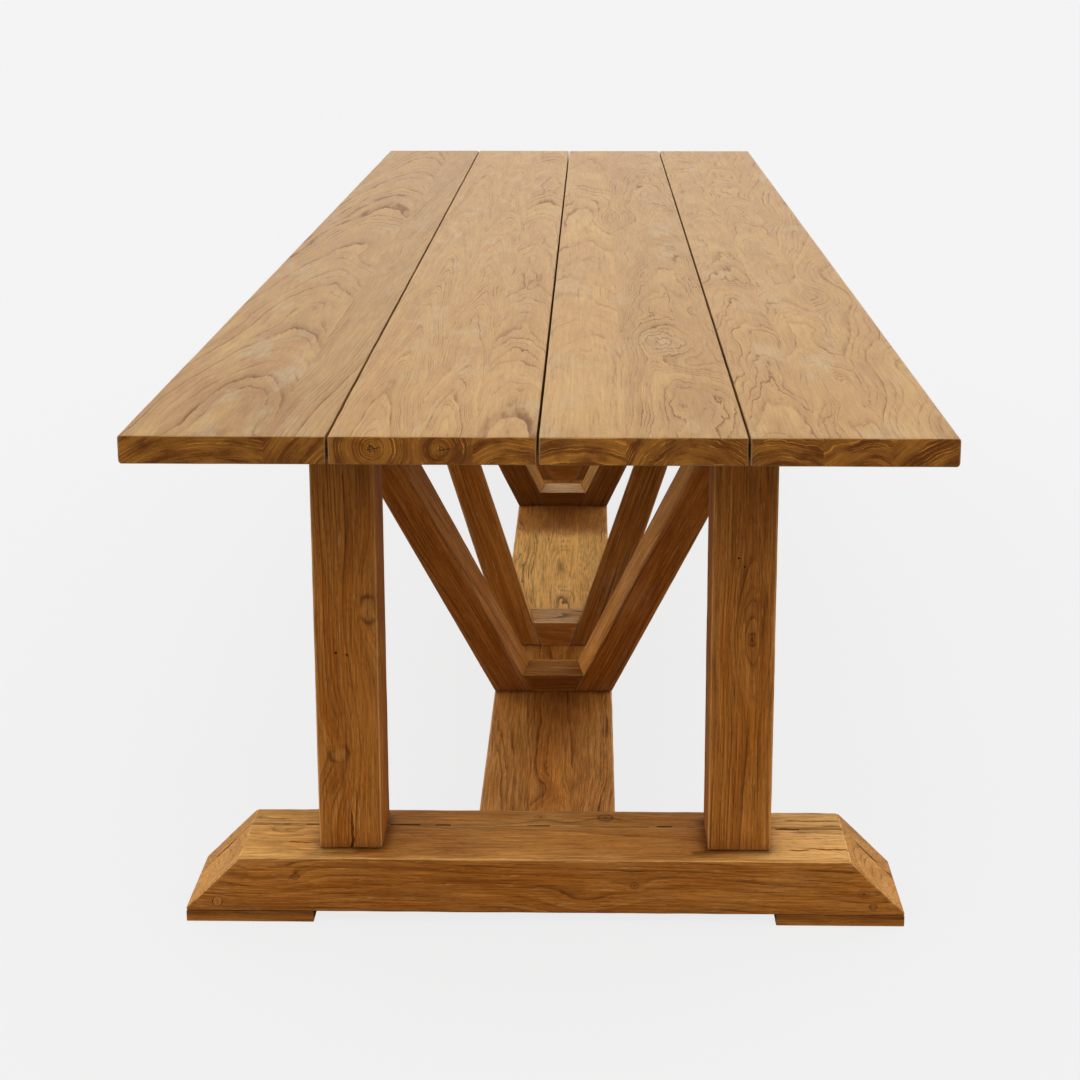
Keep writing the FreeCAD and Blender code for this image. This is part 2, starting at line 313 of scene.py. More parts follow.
def weather(board, depth, size, level=0.5, group="", way="NORMAL"):
    """Moves the surface in and out by a cloudy pattern, all over or at the corners only."""
    clouds = bpy.data.textures.new("unevenness", "CLOUDS")
    clouds.noise_scale = size
    clouds.noise_depth = 2
    uneven = board.modifiers.new("unevenness", "DISPLACE")
    uneven.texture = clouds
    uneven.texture_coords = "LOCAL"
    uneven.strength = depth
    uneven.mid_level = level
    uneven.vertex_group = group
    uneven.direction = way
    bpy.context.view_layer.objects.active = board
    bpy.ops.object.modifier_apply(modifier=uneven.name)
    bpy.data.textures.remove(clouds)


def age(board, sides, flat=0.0006, knocks=0.004):
    """Gives a board its long waves and its knocked corners."""
    mark_arris(board, sides)
    weather(board, flat, LONG_WAVES)
    weather(board, flat * 0.5, SHORT_WAVES)
    weather(board, knocks, KNOCK_SIZE, KNOCK_LEVEL, "arris")


print("weathering ready")

# %% [markdown]
# Old wood has knots, nail holes, drying cracks and joints that have opened. A knot needs a
# finer mesh round it, so the faces near it are divided. The rest is cut with loose tool
# shapes by a Boolean modifier: a thin cylinder for a hole, a long flattened ball for a crack
# and a thin block for an open joint. Bump could only paint them, a cut has real depth.

# %% Bench jobs: divide round a knot, drill a hole
def divide_at(board, spots, times=3):
    """Divides the faces near each (place, reach), more finely towards the middle."""
    bpy.context.view_layer.objects.active = board
    bpy.ops.object.mode_set(mode="EDIT")
    bpy.ops.mesh.select_mode(type="FACE")
    for round_number in range(times):
        bpy.ops.mesh.select_all(action="DESELECT")
        shape = bmesh.from_edit_mesh(board.data)
        nearer = 1 - 0.2 * round_number
        for side in shape.faces:
            middle = side.calc_center_median()
            side.select_set(any((middle - Vector(place)).length < reach * nearer for place, reach in spots))
        bmesh.update_edit_mesh(board.data)
        bpy.ops.mesh.subdivide(number_cuts=1)
    bpy.ops.object.mode_set(mode="OBJECT")


def nail_hole(place, direction, radius, depth):
    """A tool shape for a round hole that goes in from a face."""
    take()
    bpy.ops.mesh.primitive_cylinder_add(vertices=14, radius=radius, depth=2 * depth, location=place)
    tool = bpy.context.object
    tool.rotation_euler = Vector(direction).to_track_quat("Z", "Y").to_euler()
    bpy.ops.object.transform_apply(location=True, rotation=True, scale=True)
    return tool


print("knots and holes ready")


# %% Bench jobs: open a crack or a joint
def crack(place, along, inward, length, width, depth):
    """A tool shape for a drying crack: a long thin ball that wanders a little to the sides."""
    take()
    bpy.ops.mesh.primitive_uv_sphere_add(segments=12, ring_count=48, radius=0.5)
    tool = bpy.context.object
    tool.scale = (width, 2 * depth, length)
    bpy.ops.object.transform_apply(location=True, rotation=True, scale=True)
    weather(tool, 3 * width, 0.03, way="X")
    tool.rotation_euler = Matrix((inward.cross(along), inward, along)).transposed().to_euler()
    tool.location = place
    bpy.ops.object.transform_apply(location=True, rotation=True, scale=True)
    return tool


def kerf(place, sizes, lean=0.0):
    """A tool shape for an open joint: a thin block, leaned over to follow a slope."""
    take()
    bpy.ops.mesh.primitive_cube_add(size=1, location=place, rotation=(0, lean, 0))
    tool = bpy.context.object
    tool.scale = sizes
    bpy.ops.object.transform_apply(location=True, rotation=True, scale=True)
    return tool


print("cracks ready")

# %% Bench jobs: cut the tool shapes away
TOUCH = 1e-4
HEAD_ROOM = 0.026
HOLE_SLACK = 0.0003


def cut_away(board, tools):
    """Cuts all the tool shapes out of the board at once, then puts them away."""
    if not tools:
        return
    take(*tools)
    bpy.ops.object.join()
    cut = board.modifiers.new("cut", "BOOLEAN")
    cut.operation = "DIFFERENCE"
    cut.solver = "EXACT"
    cut.use_self = True
    cut.object = tools[0]
    bpy.context.view_layer.objects.active = board
    bpy.ops.object.modifier_apply(modifier=cut.name)
    bpy.data.objects.remove(tools[0])


def screw_holes(board, nodes):
    """Tool shapes for the counterbores of the screws that go up into a board from below."""
    low = Vector(min((corner[axis] for corner in board.bound_box)) for axis in range(3))
    high = Vector(max((corner[axis] for corner in board.bound_box)) for axis in range(3))
    tools = []
    for node in nodes:
        heads = [point.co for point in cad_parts[node].data.vertices]
        bottom = min(place.z for place in heads)
        rims = [place for place in heads if place.z < bottom + TOUCH]
        while rims:
            rim = [place for place in rims if (place - rims[0]).length < HEAD_ROOM]
            rims = [place for place in rims if (place - rims[0]).length >= HEAD_ROOM]
            middle = sum(rim, Vector()) / len(rim)
            radius = max((place - middle).length for place in rim)
            if low.x < middle.x < high.x and low.y < middle.y < high.y:
                depth = bottom + 0.6 * radius - low.z
                tools.append(nail_hole((middle.x, middle.y, low.z), Z, radius + HOLE_SLACK, depth))
    return tools


print("cutting ready")

# %% [markdown]
# Wood grain is a solid pattern: the rings on a board's end and the arches on its face are cuts
# through the same tree. So each corner of each face is given its place in the log, measured
# from the heart of the tree, and one ring pattern then serves every side. A wide plank is
# glued up from staves, and each stave has a heart of its own. Near a knot the rings swell.

# %% Where a board is rubbed and dirty, and where light and shade are painted on it
# How far dirt and painted contact shade reach from a piece that stands on a board.
CONTACT_SHADE_REACH = 0.007
NO_LIMIT = 9


def soft_step(value, low, high):
    """A smooth step from 0 to 1."""
    part = np.clip((value - low) / (high - low), 0, 1)
    return part * part * (3 - 2 * part)


def up_faces_worn_and_lit(places, normals):
    """Faces that look up are made paler, partly as wear and partly as painted light from above, and nothing
    is stained.
    """
    return soft_step(normals[:, 2], 0.5, 0.7), np.zeros(len(places))


def contact_dirt_and_shade(places, low, high):
    """Dirt and painted contact shade in the corner where another piece stands, strong at its edge and soon
    gone.
    """
    side = np.maximum(np.abs(places[:, 0] - (low.x + high.x) / 2) - (high.x - low.x) / 2, 0)
    end = np.maximum(np.abs(places[:, 1] - (low.y + high.y) / 2) - (high.y - low.y) / 2, 0)
    rise = np.maximum(np.abs(places[:, 2] - (low.z + high.z) / 2) - (high.z - low.z) / 2, 0)
    return np.exp(-np.sqrt(side ** 2 + end ** 2 + rise ** 2) / CONTACT_SHADE_REACH)


print("wear ready")


# %% Find each board's place in its log
def lay_grain(board, along, across, staves, wear_and_light=up_faces_worn_and_lit):
    """Writes the grain: rows are (outer limit, heart, place along the log, spread, tone, figure)."""
    mesh = board.data
    through = across.cross(along)
    axes = np.array([across, through, along])
    normals = read(mesh.polygons, "normal")
    counts = read(mesh.polygons, "loop_total", 1, int)
    corners = read(mesh.loops, "vertex_index", 1, int)
    limits, hearts, logs, spreads, tones, figures = (np.array(column) for column in zip(*staves))
    which = np.searchsorted(limits[:-1], read(mesh.polygons, "center") @ axes[0])
    which_corner = np.repeat(which, counts)
    spots = read(mesh.vertices, "co")[corners]
    grain = (spots - hearts[which_corner]) @ axes.T
    grain *= spreads[which_corner][:, None]
    grain[:, 2] += logs[which_corner]
    note_values(mesh, "grain", "FLOAT_VECTOR", "CORNER", grain)
    note_values(mesh, "end_grain", "FLOAT", "FACE", soft_step(np.abs(normals @ axes[2]), 0.75, 0.95))
    worn_and_lit, dirt_and_shade = wear_and_light(spots, np.repeat(normals, counts, axis=0))
    note_values(mesh, "wear_and_light", "FLOAT_VECTOR", "CORNER", np.stack([worn_and_lit, dirt_and_shade, 0 * worn_and_lit], 1))
    stave = np.stack([tones[which], figures[which], 0 * figures[which]], 1)
    note_values(mesh, "stave", "FLOAT_VECTOR", "FACE", stave)


def swell_at_knots(board, along, knots):
    """Swells the rings round each knot: rows are (place, reach, swelling, size, dark heart)."""
    mesh = board.data
    places = read(mesh.vertices, "co")
    swell = np.zeros((len(mesh.vertices), 3))
    for place, reach, lift, size, heart in knots:
        away = places - np.array(place)
        run = away @ np.array(along)
        beside = (away ** 2).sum(1) - run ** 2
        swell[:, 0] += lift * np.exp(-(beside + (run / 2.2) ** 2) / reach ** 2)
        if size:
            turn = np.arctan2(run, away[:, 0]) + size * 900
            uneven = 1 + 0.16 * np.sin(2 * turn) + 0.10 * np.sin(3 * turn) + 0.06 * np.sin(7 * turn)
            far = np.sqrt(beside + (run / 1.25) ** 2) / (size * uneven)
            rim = np.exp(-((far - 1) / 0.2) ** 2) * (0.5 + 0.5 * np.sin(2 * turn))
            swell[:, 1] = np.maximum(swell[:, 1], np.maximum(rim, heart * np.exp(-(far / 0.5) ** 2)))
            swell[:, 2] = np.maximum(swell[:, 2], (1 - heart) * np.exp(-(far / 0.8) ** 4))
    note_values(mesh, "knots", "FLOAT_VECTOR", "POINT", swell)


print("grain ready")

# %% [markdown]
# The last bench job is the same for every board: smooth shading in which the broad faces stay
# flat and only the rounded corners turn, the finish, and the piece of the measured model that
# the board stands for.

# %% Bench jobs: hand the board over
SMOOTH_ANGLE = math.radians(38)
finishes = {}


def hand_over(board, node, slot):
    """Finishes a board and puts it in place of the measured piece."""
    take(board)
    bpy.ops.object.shade_smooth_by_angle(angle=SMOOTH_ANGLE)
    flats = board.modifiers.new("flat_faces", "WEIGHTED_NORMAL")
    flats.keep_sharp = True
    bpy.ops.object.modifier_apply(modifier=flats.name)
    board.vertex_groups.clear()
    board.data.materials.clear()
    board.data.materials.append(finishes[slot])
    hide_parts(node)
    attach(board, "root")


def faces_of(board):
    """Counts the faces, for the printed notes."""
    return len(board.data.polygons)


print("hand over ready")

# %% [markdown]
# Teak is made from three node groups that every finish here shares. The first is the growth
# rings: the distance from the heart is pushed about by a wandering stem, by ripples and by
# knots, and cut into rings of uneven width, each with a thin dark line. Streaks and blotches
# follow the same rings. An image of wood would not agree from one face to the next.

# %% More helpers for nodes
def stretch(tree, vector, factors):
    """Squeezes or stretches a pattern along each axis."""
    values = {0: vector, 1: factors}
    return put(tree, "ShaderNodeVectorMath", values, operation="MULTIPLY").outputs[0]


def clouds_of(tree, vector, detail=3.0, rough=0.55):
    """A soft cloudy pattern between 0 and 1."""
    values = {"Vector": vector, "Scale": 1.0, "Detail": detail, "Roughness": rough}
    return put(tree, "ShaderNodeTexNoise", values).outputs[0]


def nudge(tree, value, pattern, amount):
    """Pushes a value up and down by a pattern."""
    return calc(tree, "MULTIPLY_ADD", calc(tree, "SUBTRACT", pattern, 0.5), amount, value)


def tint(tree, amount, under, over, mode="MIX"):
    """Lays one colour over another."""
    values = {0: amount, 6: under, 7: over}
    return put(tree, "ShaderNodeMix", values, data_type="RGBA", blend_type=mode).outputs[2]


def parts(tree, vector):
    """The three numbers in a vector."""
    return put(tree, "ShaderNodeSeparateXYZ", {0: vector}).outputs


def new_group(name, inputs, outputs):
    """Starts a node group with named sockets."""
    group = bpy.data.node_groups.new(name, "ShaderNodeTree")
    for title, kind, value in inputs:
        socket = group.interface.new_socket(title, in_out="INPUT", socket_type="NodeSocket" + kind)
        if value is not None:
            socket.default_value = value
    for title, kind in outputs:
        group.interface.new_socket(title, in_out="OUTPUT", socket_type="NodeSocket" + kind)
    start = group.nodes.new("NodeGroupInput").outputs
    end = group.nodes.new("NodeGroupOutput").inputs
    return group, start, end


print("more node helpers ready")

# %% Growth rings: the heart and the stem
SHIVER = 0.0016
rings, given, made = new_group(
    "growth_rings",
    [
        ("Grain", "Vector", None),
        ("Knots", "Vector", None),
        ("Stave", "Vector", None),
        ("Ring width", "Float", 0.006),
        ("Taper", "Float", 0.05),
        ("Wander", "Float", 0.03),
        ("Sway", "Float", 0.012),
        ("Ripple", "Float", 0.003),
        ("Line width", "Float", 0.1),
        ("Fineness", "Float", 1.0),
    ],
    [("Lines", "Float"), ("Bands", "Float"), ("Streaks", "Float"), ("Blotches", "Float")],
)
log_axes = parts(rings, given["Grain"])
figure = parts(rings, given["Stave"])[1]
wander = calc(rings, "MULTIPLY", given["Wander"], figure)
bends = {"W": log_axes[2], "Scale": 1.3, "Detail": 2.0, "Roughness": 0.5}
stem = parts(rings, put(rings, "ShaderNodeTexNoise", bends, noise_dimensions="1D").outputs[1])
side = nudge(rings, log_axes[0], stem[0], wander)
depth = nudge(rings, log_axes[1], stem[1], wander)
square = calc(rings, "MULTIPLY_ADD", side, side, calc(rings, "MULTIPLY", depth, depth))
radius = calc(rings, "SQRT", square)
for name, scales, detail in (("Sway", (9, 9, 1.7), 2.0), ("Ripple", (48, 48, 9.0), 3.0)):
    push = clouds_of(rings, stretch(rings, given["Grain"], scales), detail)
    radius = nudge(rings, radius, push, calc(rings, "MULTIPLY", given[name], figure))
shiver = clouds_of(rings, stretch(rings, given["Grain"], (170, 170, 18)), 2.0)
radius = nudge(rings, radius, shiver, SHIVER)
radius = calc(rings, "MULTIPLY_ADD", log_axes[2], given["Taper"], radius)
radius = calc(rings, "ADD", radius, parts(rings, given["Knots"])[0])
print("stem:", len(rings.nodes), "nodes")

# %% Growth rings: streaks and blotches along them
ring_place = put(rings, "ShaderNodeCombineXYZ", {0: radius, 1: log_axes[0], 2: log_axes[2]}).outputs[0]
finer = {0: ring_place, "Scale": given["Fineness"]}
fine_place = put(rings, "ShaderNodeVectorMath", finer, operation="SCALE").outputs[0]
for name, scales, rough, low, high in (
    ("Streaks", (95, 20, 5.0), 0.65, 0.33, 0.67),
    ("Blotches", (26, 9, 3.2), 0.62, 0.46, 0.76),
):
    pattern = clouds_of(rings, stretch(rings, fine_place, scales), 5.0, rough)
    rings.links.new(ramp(rings, pattern, low, high), made[name])
print("streaks and blotches:", len(rings.nodes), "nodes")

# %% Growth rings: a line and a band for each year
UNEVEN_YEARS = 2.4
years = calc(rings, "DIVIDE", radius, given["Ring width"])
weather_of = {"W": years, "Scale": 0.37, "Detail": 1.0}
seasons = put(rings, "ShaderNodeTexNoise", weather_of, noise_dimensions="1D").outputs[0]
years = nudge(rings, years, seasons, UNEVEN_YEARS)
year = calc(rings, "FLOOR", years)
season = calc(rings, "FRACT", years)
vigour = put(rings, "ShaderNodeTexWhiteNoise", {"W": year}, noise_dimensions="1D").outputs[0]
late = ramp(rings, season, 0.0, given["Line width"], 1.0, 0.0)
early = ramp(rings, season, 0.96, 1.0)
line = calc(rings, "MAXIMUM", late, early)
false_ring = calc(rings, "FRACT", calc(rings, "MULTIPLY", years, 2.7))
false_ring = calc(rings, "MULTIPLY", ramp(rings, false_ring, 0.0, 0.3, 1.0, 0.0), 0.3)
line = calc(rings, "MAXIMUM", line, false_ring)
gaps = clouds_of(rings, stretch(rings, given["Grain"], (34, 34, 7)), 3.0)
broken = ramp(rings, gaps, 0.40, 0.62, 0.08, 1.0)
strength = calc(rings, "MULTIPLY_ADD", calc(rings, "POWER", vigour, 1.4), 0.65, 0.35)
line = calc(rings, "MULTIPLY", line, calc(rings, "MULTIPLY", strength, broken))
rings.links.new(line, made["Lines"])
fade = calc(rings, "POWER", calc(rings, "SUBTRACT", 1.0, season), 1.5)
rings.links.new(calc(rings, "MULTIPLY", fade, vigour), made["Bands"])
print("rings:", len(rings.nodes), "nodes")

# %% [markdown]
# The second group is what fills the rings: fine fibres, dark flecks, pale glints, the open
# pores that show as short dark dashes, and the grey patches that lie loosely along the grain
# of wood that has stood in the sun.

# %% Fibres, pores and grey
fibre, given, made = new_group(
    "fibres_and_age",
    [("Grain", "Vector", None)],
    [("Fibres", "Float"), ("Flecks", "Float"), ("Glints", "Float"), ("Pores", "Float"), ("Grey", "Float")],
)


def shifted(tree, vector, factors, shift):
    """The same pattern, stretched and taken from another place."""
    values = {0: stretch(tree, vector, factors), 1: shift}
    return put(tree, "ShaderNodeVectorMath", values, operation="ADD").outputs[0]


fine = clouds_of(fibre, stretch(fibre, given["Grain"], (450, 450, 14)), 3.0, 0.65)
fibre.links.new(fine, made["Fibres"])
for name, scales, shift, detail, rough, low, high in (
    ("Flecks", (300, 300, 12), (3.1, 5.3, 7.7), 3.0, 0.7, 0.56, 0.74),
    ("Glints", (330, 330, 40), (9.1, 2.3, 4.4), 2.0, 0.6, 0.60, 0.76),
    ("Grey", (13, 13, 5), (4.7, 8.1, 2.9), 4.0, 0.6, 0.52, 0.70),
):
    pattern = clouds_of(fibre, shifted(fibre, given["Grain"], scales, shift), detail, rough)
    fibre.links.new(ramp(fibre, pattern, low, high), made[name])
cells = {"Vector": stretch(fibre, given["Grain"], (620, 620, 55)), "Scale": 1.0}
dashes = put(fibre, "ShaderNodeTexVoronoi", cells).outputs["Distance"]
fibre.links.new(ramp(fibre, dashes, 0.30, 0.12), made["Pores"])
print("fibres:", len(fibre.nodes), "nodes")

# %% [markdown]
# The third group mixes these masks into a colour, a roughness and a height, so that each finish
# only has to choose its own colours and strengths. Faces that look up are paler, partly where
# hands and shoes rub them and partly as painted light from above, end grain drinks the oil and
# shows its rings in two tones, worn corners are pale, partly as a painted highlight, dirt and
# painted shade darken the places that a board notes, and the heart of a knot is darkest.

# %% Mix the teak: the face of the wood
MASKS = ("Lines", "Bands", "Streaks", "Fibres", "Flecks", "Glints", "Pores", "Blotches", "Grey")
NOTES = ("Arris", "End grain")
COLOURS = ("Pale", "Body", "Brown", "Line", "Bleached_and_lit", "Rubbed_and_lit", "End dark", "End pale")
STRENGTHS = ("Line", "Band", "Blotch", "Grey", "Fleck", "Glint", "Pore", "Fibre", "Worn_edge_highlight")
teak_mix, given, made = new_group(
    "teak_mix",
    [(name, "Float", 0.0) for name in MASKS + NOTES]
    + [("Knots", "Vector", None), ("Stave", "Vector", None), ("Use_and_light", "Vector", None)]
    + [(name, "Color", None) for name in COLOURS]
    + [(name + " strength", "Float", 0.5) for name in STRENGTHS]
    + [("Dullness", "Float", 0.5)],
    [("Colour", "Color"), ("Roughness", "Float"), ("Height", "Float")],
)


def share(mask, strength):
    """A mask at the strength that the finish asks for."""
    return calc(teak_mix, "MULTIPLY", given[mask], given[strength + " strength"])


wood = tint(teak_mix, given["Streaks"], given["Body"], given["Pale"])
for mask, strength, colour in (
    ("Blotches", "Blotch", "Brown"),
    ("Bands", "Band", "Brown"),
    ("Grey", "Grey", "Bleached_and_lit"),
):
    wood = tint(teak_mix, share(mask, strength), wood, given[colour])
worn_and_lit, dirt_and_shade = parts(teak_mix, given["Use_and_light"])[:2]
knot_dark, knot_pale = parts(teak_mix, given["Knots"])[1:]
# Faces that look up are paled and tinted: partly wear, partly painted light.
wood = tint(teak_mix, calc(teak_mix, "MULTIPLY", worn_and_lit, 0.4), wood, given["Pale"])
wood = tint(teak_mix, worn_and_lit, wood, tint(teak_mix, 1.0, wood, given["Rubbed_and_lit"], "MULTIPLY"))
wood = tint(teak_mix, calc(teak_mix, "SUBTRACT", worn_and_lit, 1.0), wood, given["Bleached_and_lit"])
wood = tint(teak_mix, calc(teak_mix, "MULTIPLY", knot_pale, 0.2), wood, given["Bleached_and_lit"])
wood = tint(teak_mix, share("Glints", "Glint"), wood, given["Bleached_and_lit"])
wood = tint(teak_mix, share("Lines", "Line"), wood, given["Line"])
open_grain = calc(teak_mix, "MULTIPLY_ADD", worn_and_lit, 0.8, 1.0)
wood = tint(teak_mix, calc(teak_mix, "MULTIPLY", share("Flecks", "Fleck"), open_grain), wood, given["Line"])
wood = tint(teak_mix, share("Pores", "Pore"), wood, given["Line"])
wood = tint(teak_mix, calc(teak_mix, "MULTIPLY", knot_dark, 0.75), wood, given["Line"])
print("face of the wood:", len(teak_mix.nodes), "nodes")

# %% Mix the teak: end grain, worn and highlighted corners, stains and painted shade
end_wood = given["End dark"]
for mask, amount, colour in (
    ("Bands", 0.8, "Line"),
    ("Streaks", 0.4, "End pale"),
    ("Blotches", 0.8, "End dark"),
    ("Lines", 1.0, "End pale"),
):
    end_wood = tint(teak_mix, calc(teak_mix, "MULTIPLY", given[mask], amount), end_wood, given[colour])
wood = tint(teak_mix, given["End grain"], wood, end_wood)
# Worn corners turn pale: partly wear, partly a painted highlight.
wood = tint(teak_mix, share("Arris", "Worn_edge_highlight"), wood, given["Bleached_and_lit"])
# Dirt and painted shade darken the places that a board notes as stained.
wood = tint(teak_mix, dirt_and_shade, wood, given["Line"])
shade = nudge(teak_mix, 1.0, given["Fibres"], given["Fibre strength"])
shade = calc(teak_mix, "ADD", shade, parts(teak_mix, given["Stave"])[0])
wood = put(teak_mix, "ShaderNodeVectorMath", {0: wood, "Scale": shade}, operation="SCALE").outputs[0]
teak_mix.links.new(wood, made["Colour"])
print("end grain and wear:", len(teak_mix.nodes), "nodes")

# %% Mix the teak: roughness and height
dull = given["Dullness"]
for mask, amount in (("Pores", 0.2), ("Lines", 0.08), ("Streaks", 0.06), ("End grain", 0.35)):
    dull = calc(teak_mix, "MULTIPLY_ADD", given[mask], amount, dull)
teak_mix.links.new(dull, made["Roughness"])
rise = calc(teak_mix, "MULTIPLY", given["Fibres"], 0.6)
for mask, amount in (("Pores", -0.5), ("Flecks", -0.4), ("Lines", -0.6)):
    rise = calc(teak_mix, "MULTIPLY_ADD", given[mask], amount, rise)
teak_mix.links.new(rise, made["Height"])
print("mix:", len(teak_mix.nodes), "nodes")

# %% [markdown]
# Each finish is one material. They all read the place in the log that each board carries, but
# the top is sanded and bleached to a light honey, the base is oiled to a red brown, and the
# stretcher and feet are more ochre on top, partly where hands and shoes have worn them and
# partly as painted light.

# %% One function for all the teak finishes
RELIEF = {"Strength": 0.35, "Distance": 0.0012}
DULLNESS = 0.55


def teak_finish(slot, rings_of, colours, strengths, gloss, dullness=DULLNESS, grain=None):
    """Makes one teak material from its rings, colours, strengths and gloss."""
    finish = bpy.data.materials.new(slot)
    finish.use_nodes = True
    tree = finish.node_tree
    notes = {}
    for name in ("grain", "knots", "stave", "wear_and_light", "arris", "end_grain"):
        notes[name] = put(tree, "ShaderNodeAttribute", attribute_name=name).outputs
    place = grain(tree) if grain else notes["grain"]["Vector"]
    ring = put(tree, "ShaderNodeGroup", node_tree=rings)
    grit = put(tree, "ShaderNodeGroup", node_tree=fibre)
    mix = put(tree, "ShaderNodeGroup", node_tree=teak_mix)
    for group in (ring, grit):
        tree.links.new(place, group.inputs["Grain"])
        for output in group.outputs:
            tree.links.new(output, mix.inputs[output.name])
    for group in (ring, mix):
        tree.links.new(notes["knots"]["Vector"], group.inputs["Knots"])
        tree.links.new(notes["stave"]["Vector"], group.inputs["Stave"])
    tree.links.new(notes["arris"]["Fac"], mix.inputs["Arris"])
    tree.links.new(notes["end_grain"]["Fac"], mix.inputs["End grain"])
    tree.links.new(notes["wear_and_light"]["Vector"], mix.inputs["Use_and_light"])
    for name, value in rings_of.items():
        ring.inputs[name].default_value = value
    for name, value in colours.items():
        mix.inputs[name].default_value = (*value, 1)
    for name, value in strengths.items():
        mix.inputs[name + " strength"].default_value = value
    mix.inputs["Dullness"].default_value = dullness
    shader = tree.nodes["Principled BSDF"]
    shader.inputs["Specular IOR Level"].default_value = gloss
    tree.links.new(mix.outputs["Colour"], shader.inputs["Base Color"])
    tree.links.new(mix.outputs["Roughness"], shader.inputs["Roughness"])
    relief = put(tree, "ShaderNodeBump", dict(RELIEF, Height=mix.outputs["Height"]))
    tree.links.new(relief.outputs[0], shader.inputs["Normal"])
    finishes[slot] = finish


print("finish function ready")

# %% The finish of the top
teak_finish(
    "top_teak",
    {
        "Ring width": 0.006, "Taper": 0.05, "Wander": 0.07, "Sway": 0.03, "Ripple": 0.011, "Line width": 0.28,
        "Fineness": 0.75,
    },
    {
        "Pale": (0.49, 0.290, 0.105),
        "Body": (0.36, 0.170, 0.043),
        "Brown": (0.255, 0.104, 0.018),
        "Line": (0.165, 0.060, 0.008),
        "Bleached_and_lit": (0.43, 0.295, 0.150),
        "Rubbed_and_lit": (1.0, 1.0, 1.0),
        "End dark": (0.14, 0.030, 0.001),
        "End pale": (0.84, 0.34, 0.045),
    },
    dict(
        Line=1.0, Band=0.75, Blotch=0.55, Grey=0.8, Fleck=0.25, Glint=0.08, Pore=0.15, Fibre=0.6, Worn_edge_highlight=0.25,
    ),
    gloss=0.11,
    dullness=0.42,
)
print("finishes:", sorted(finishes))

# %% The finishes of the base
BASE_RINGS = {
    "Ring width": 0.007, "Taper": 0.02, "Wander": 0.05, "Sway": 0.014, "Ripple": 0.006, "Line width": 0.4,
}
BASE_COLOURS = {
    "Pale": (0.58, 0.210, 0.034),
    "Body": (0.43, 0.126, 0.012),
    "Brown": (0.25, 0.068, 0.007),
    "Line": (0.070, 0.019, 0.003),
    "Bleached_and_lit": (0.78, 0.38, 0.11),
    # The rubbed tint pales the faces that look up: partly wear, partly painted light.
    "Rubbed_and_lit": (1.38, 2.05, 3.3),
    "End dark": (0.16, 0.048, 0.006),
    "End pale": (0.42, 0.17, 0.035),
}
BASE_STRENGTHS = dict(
    Line=0.8, Band=0.6, Blotch=0.6, Grey=0.12, Fleck=0.5, Glint=0.4, Pore=0.5, Fibre=1.8, Worn_edge_highlight=0.8,
)
teak_finish(
    "post_teak",
    dict(BASE_RINGS, **{"Ring width": 0.0055, "Taper": 0.012}),
    BASE_COLOURS,
    BASE_STRENGTHS,
    gloss=0.12,
)
teak_finish(
    "foot_teak",
    dict(BASE_RINGS, **{"Ring width": 0.009, "Taper": 0.03, "Sway": 0.03, "Ripple": 0.010}),
    # The feet's pale colour is yellower, partly for the painted light on their tops.
    dict(BASE_COLOURS, Bleached_and_lit=(0.80, 0.44, 0.14)),
    dict(BASE_STRENGTHS, Blotch=0.7, Line=0.6),
    gloss=0.12,
)
teak_finish(
    "stretcher_teak",
    dict(BASE_RINGS, **{"Ring width": 0.005, "Sway": 0.02, "Ripple": 0.010}),
    # The stretcher's strong rubbed tint is partly painted light on its shaded top.
    dict(BASE_COLOURS, Rubbed_and_lit=(1.85, 2.9, 5.3), Line=(0.11, 0.034, 0.006)),
    dict(BASE_STRENGTHS, Line=0.95, Fleck=0.28, Band=0.8, Pore=0.25, Fibre=2.1, Glint=0.6),
    gloss=0.12,
)
teak_finish(
    "brace_teak",
    BASE_RINGS,
    # The braces' rubbed tint and pale colour also paint light on the legs' inner faces and the sills' tops.
    dict(BASE_COLOURS, Rubbed_and_lit=(1.9, 2.7, 4.0), Bleached_and_lit=(0.80, 0.52, 0.25)),
    dict(BASE_STRENGTHS, Fibre=1.3, Glint=0.25, Worn_edge_highlight=0.3),
    gloss=0.06,
)
print("finishes:", sorted(finishes))


# %% The finishes of the bearers, plugs and dowels
def along_x(tree):
    """The bearers are measured pieces with no notes, so their grain runs along X in space."""
    space = put(tree, "ShaderNodeTexCoord").outputs["Object"]
    turned = put(tree, "ShaderNodeMapping", {"Vector": space, "Rotation": (0, math.pi / 2, 0)})
    return turned.outputs[0]


PLUG_COLOURS = dict(BASE_COLOURS, Pale=(0.58, 0.22, 0.04), Body=(0.48, 0.16, 0.022))
PLUG_COLOURS.update({"End dark": (0.44, 0.15, 0.022), "End pale": (0.60, 0.25, 0.055)})
teak_finish("bearer_teak", BASE_RINGS, BASE_COLOURS, BASE_STRENGTHS, 0.15, grain=along_x)
teak_finish("plug_wood", BASE_RINGS, PLUG_COLOURS, BASE_STRENGTHS, 0.15)
teak_finish("dowel_wood", BASE_RINGS, PLUG_COLOURS, BASE_STRENGTHS, 0.15, grain=along_x)
print("finishes:", sorted(finishes))

# %% [markdown]
# The screws are plain zinc-plated steel that has gone dull, a little patchy where it has been
# handled and driven.

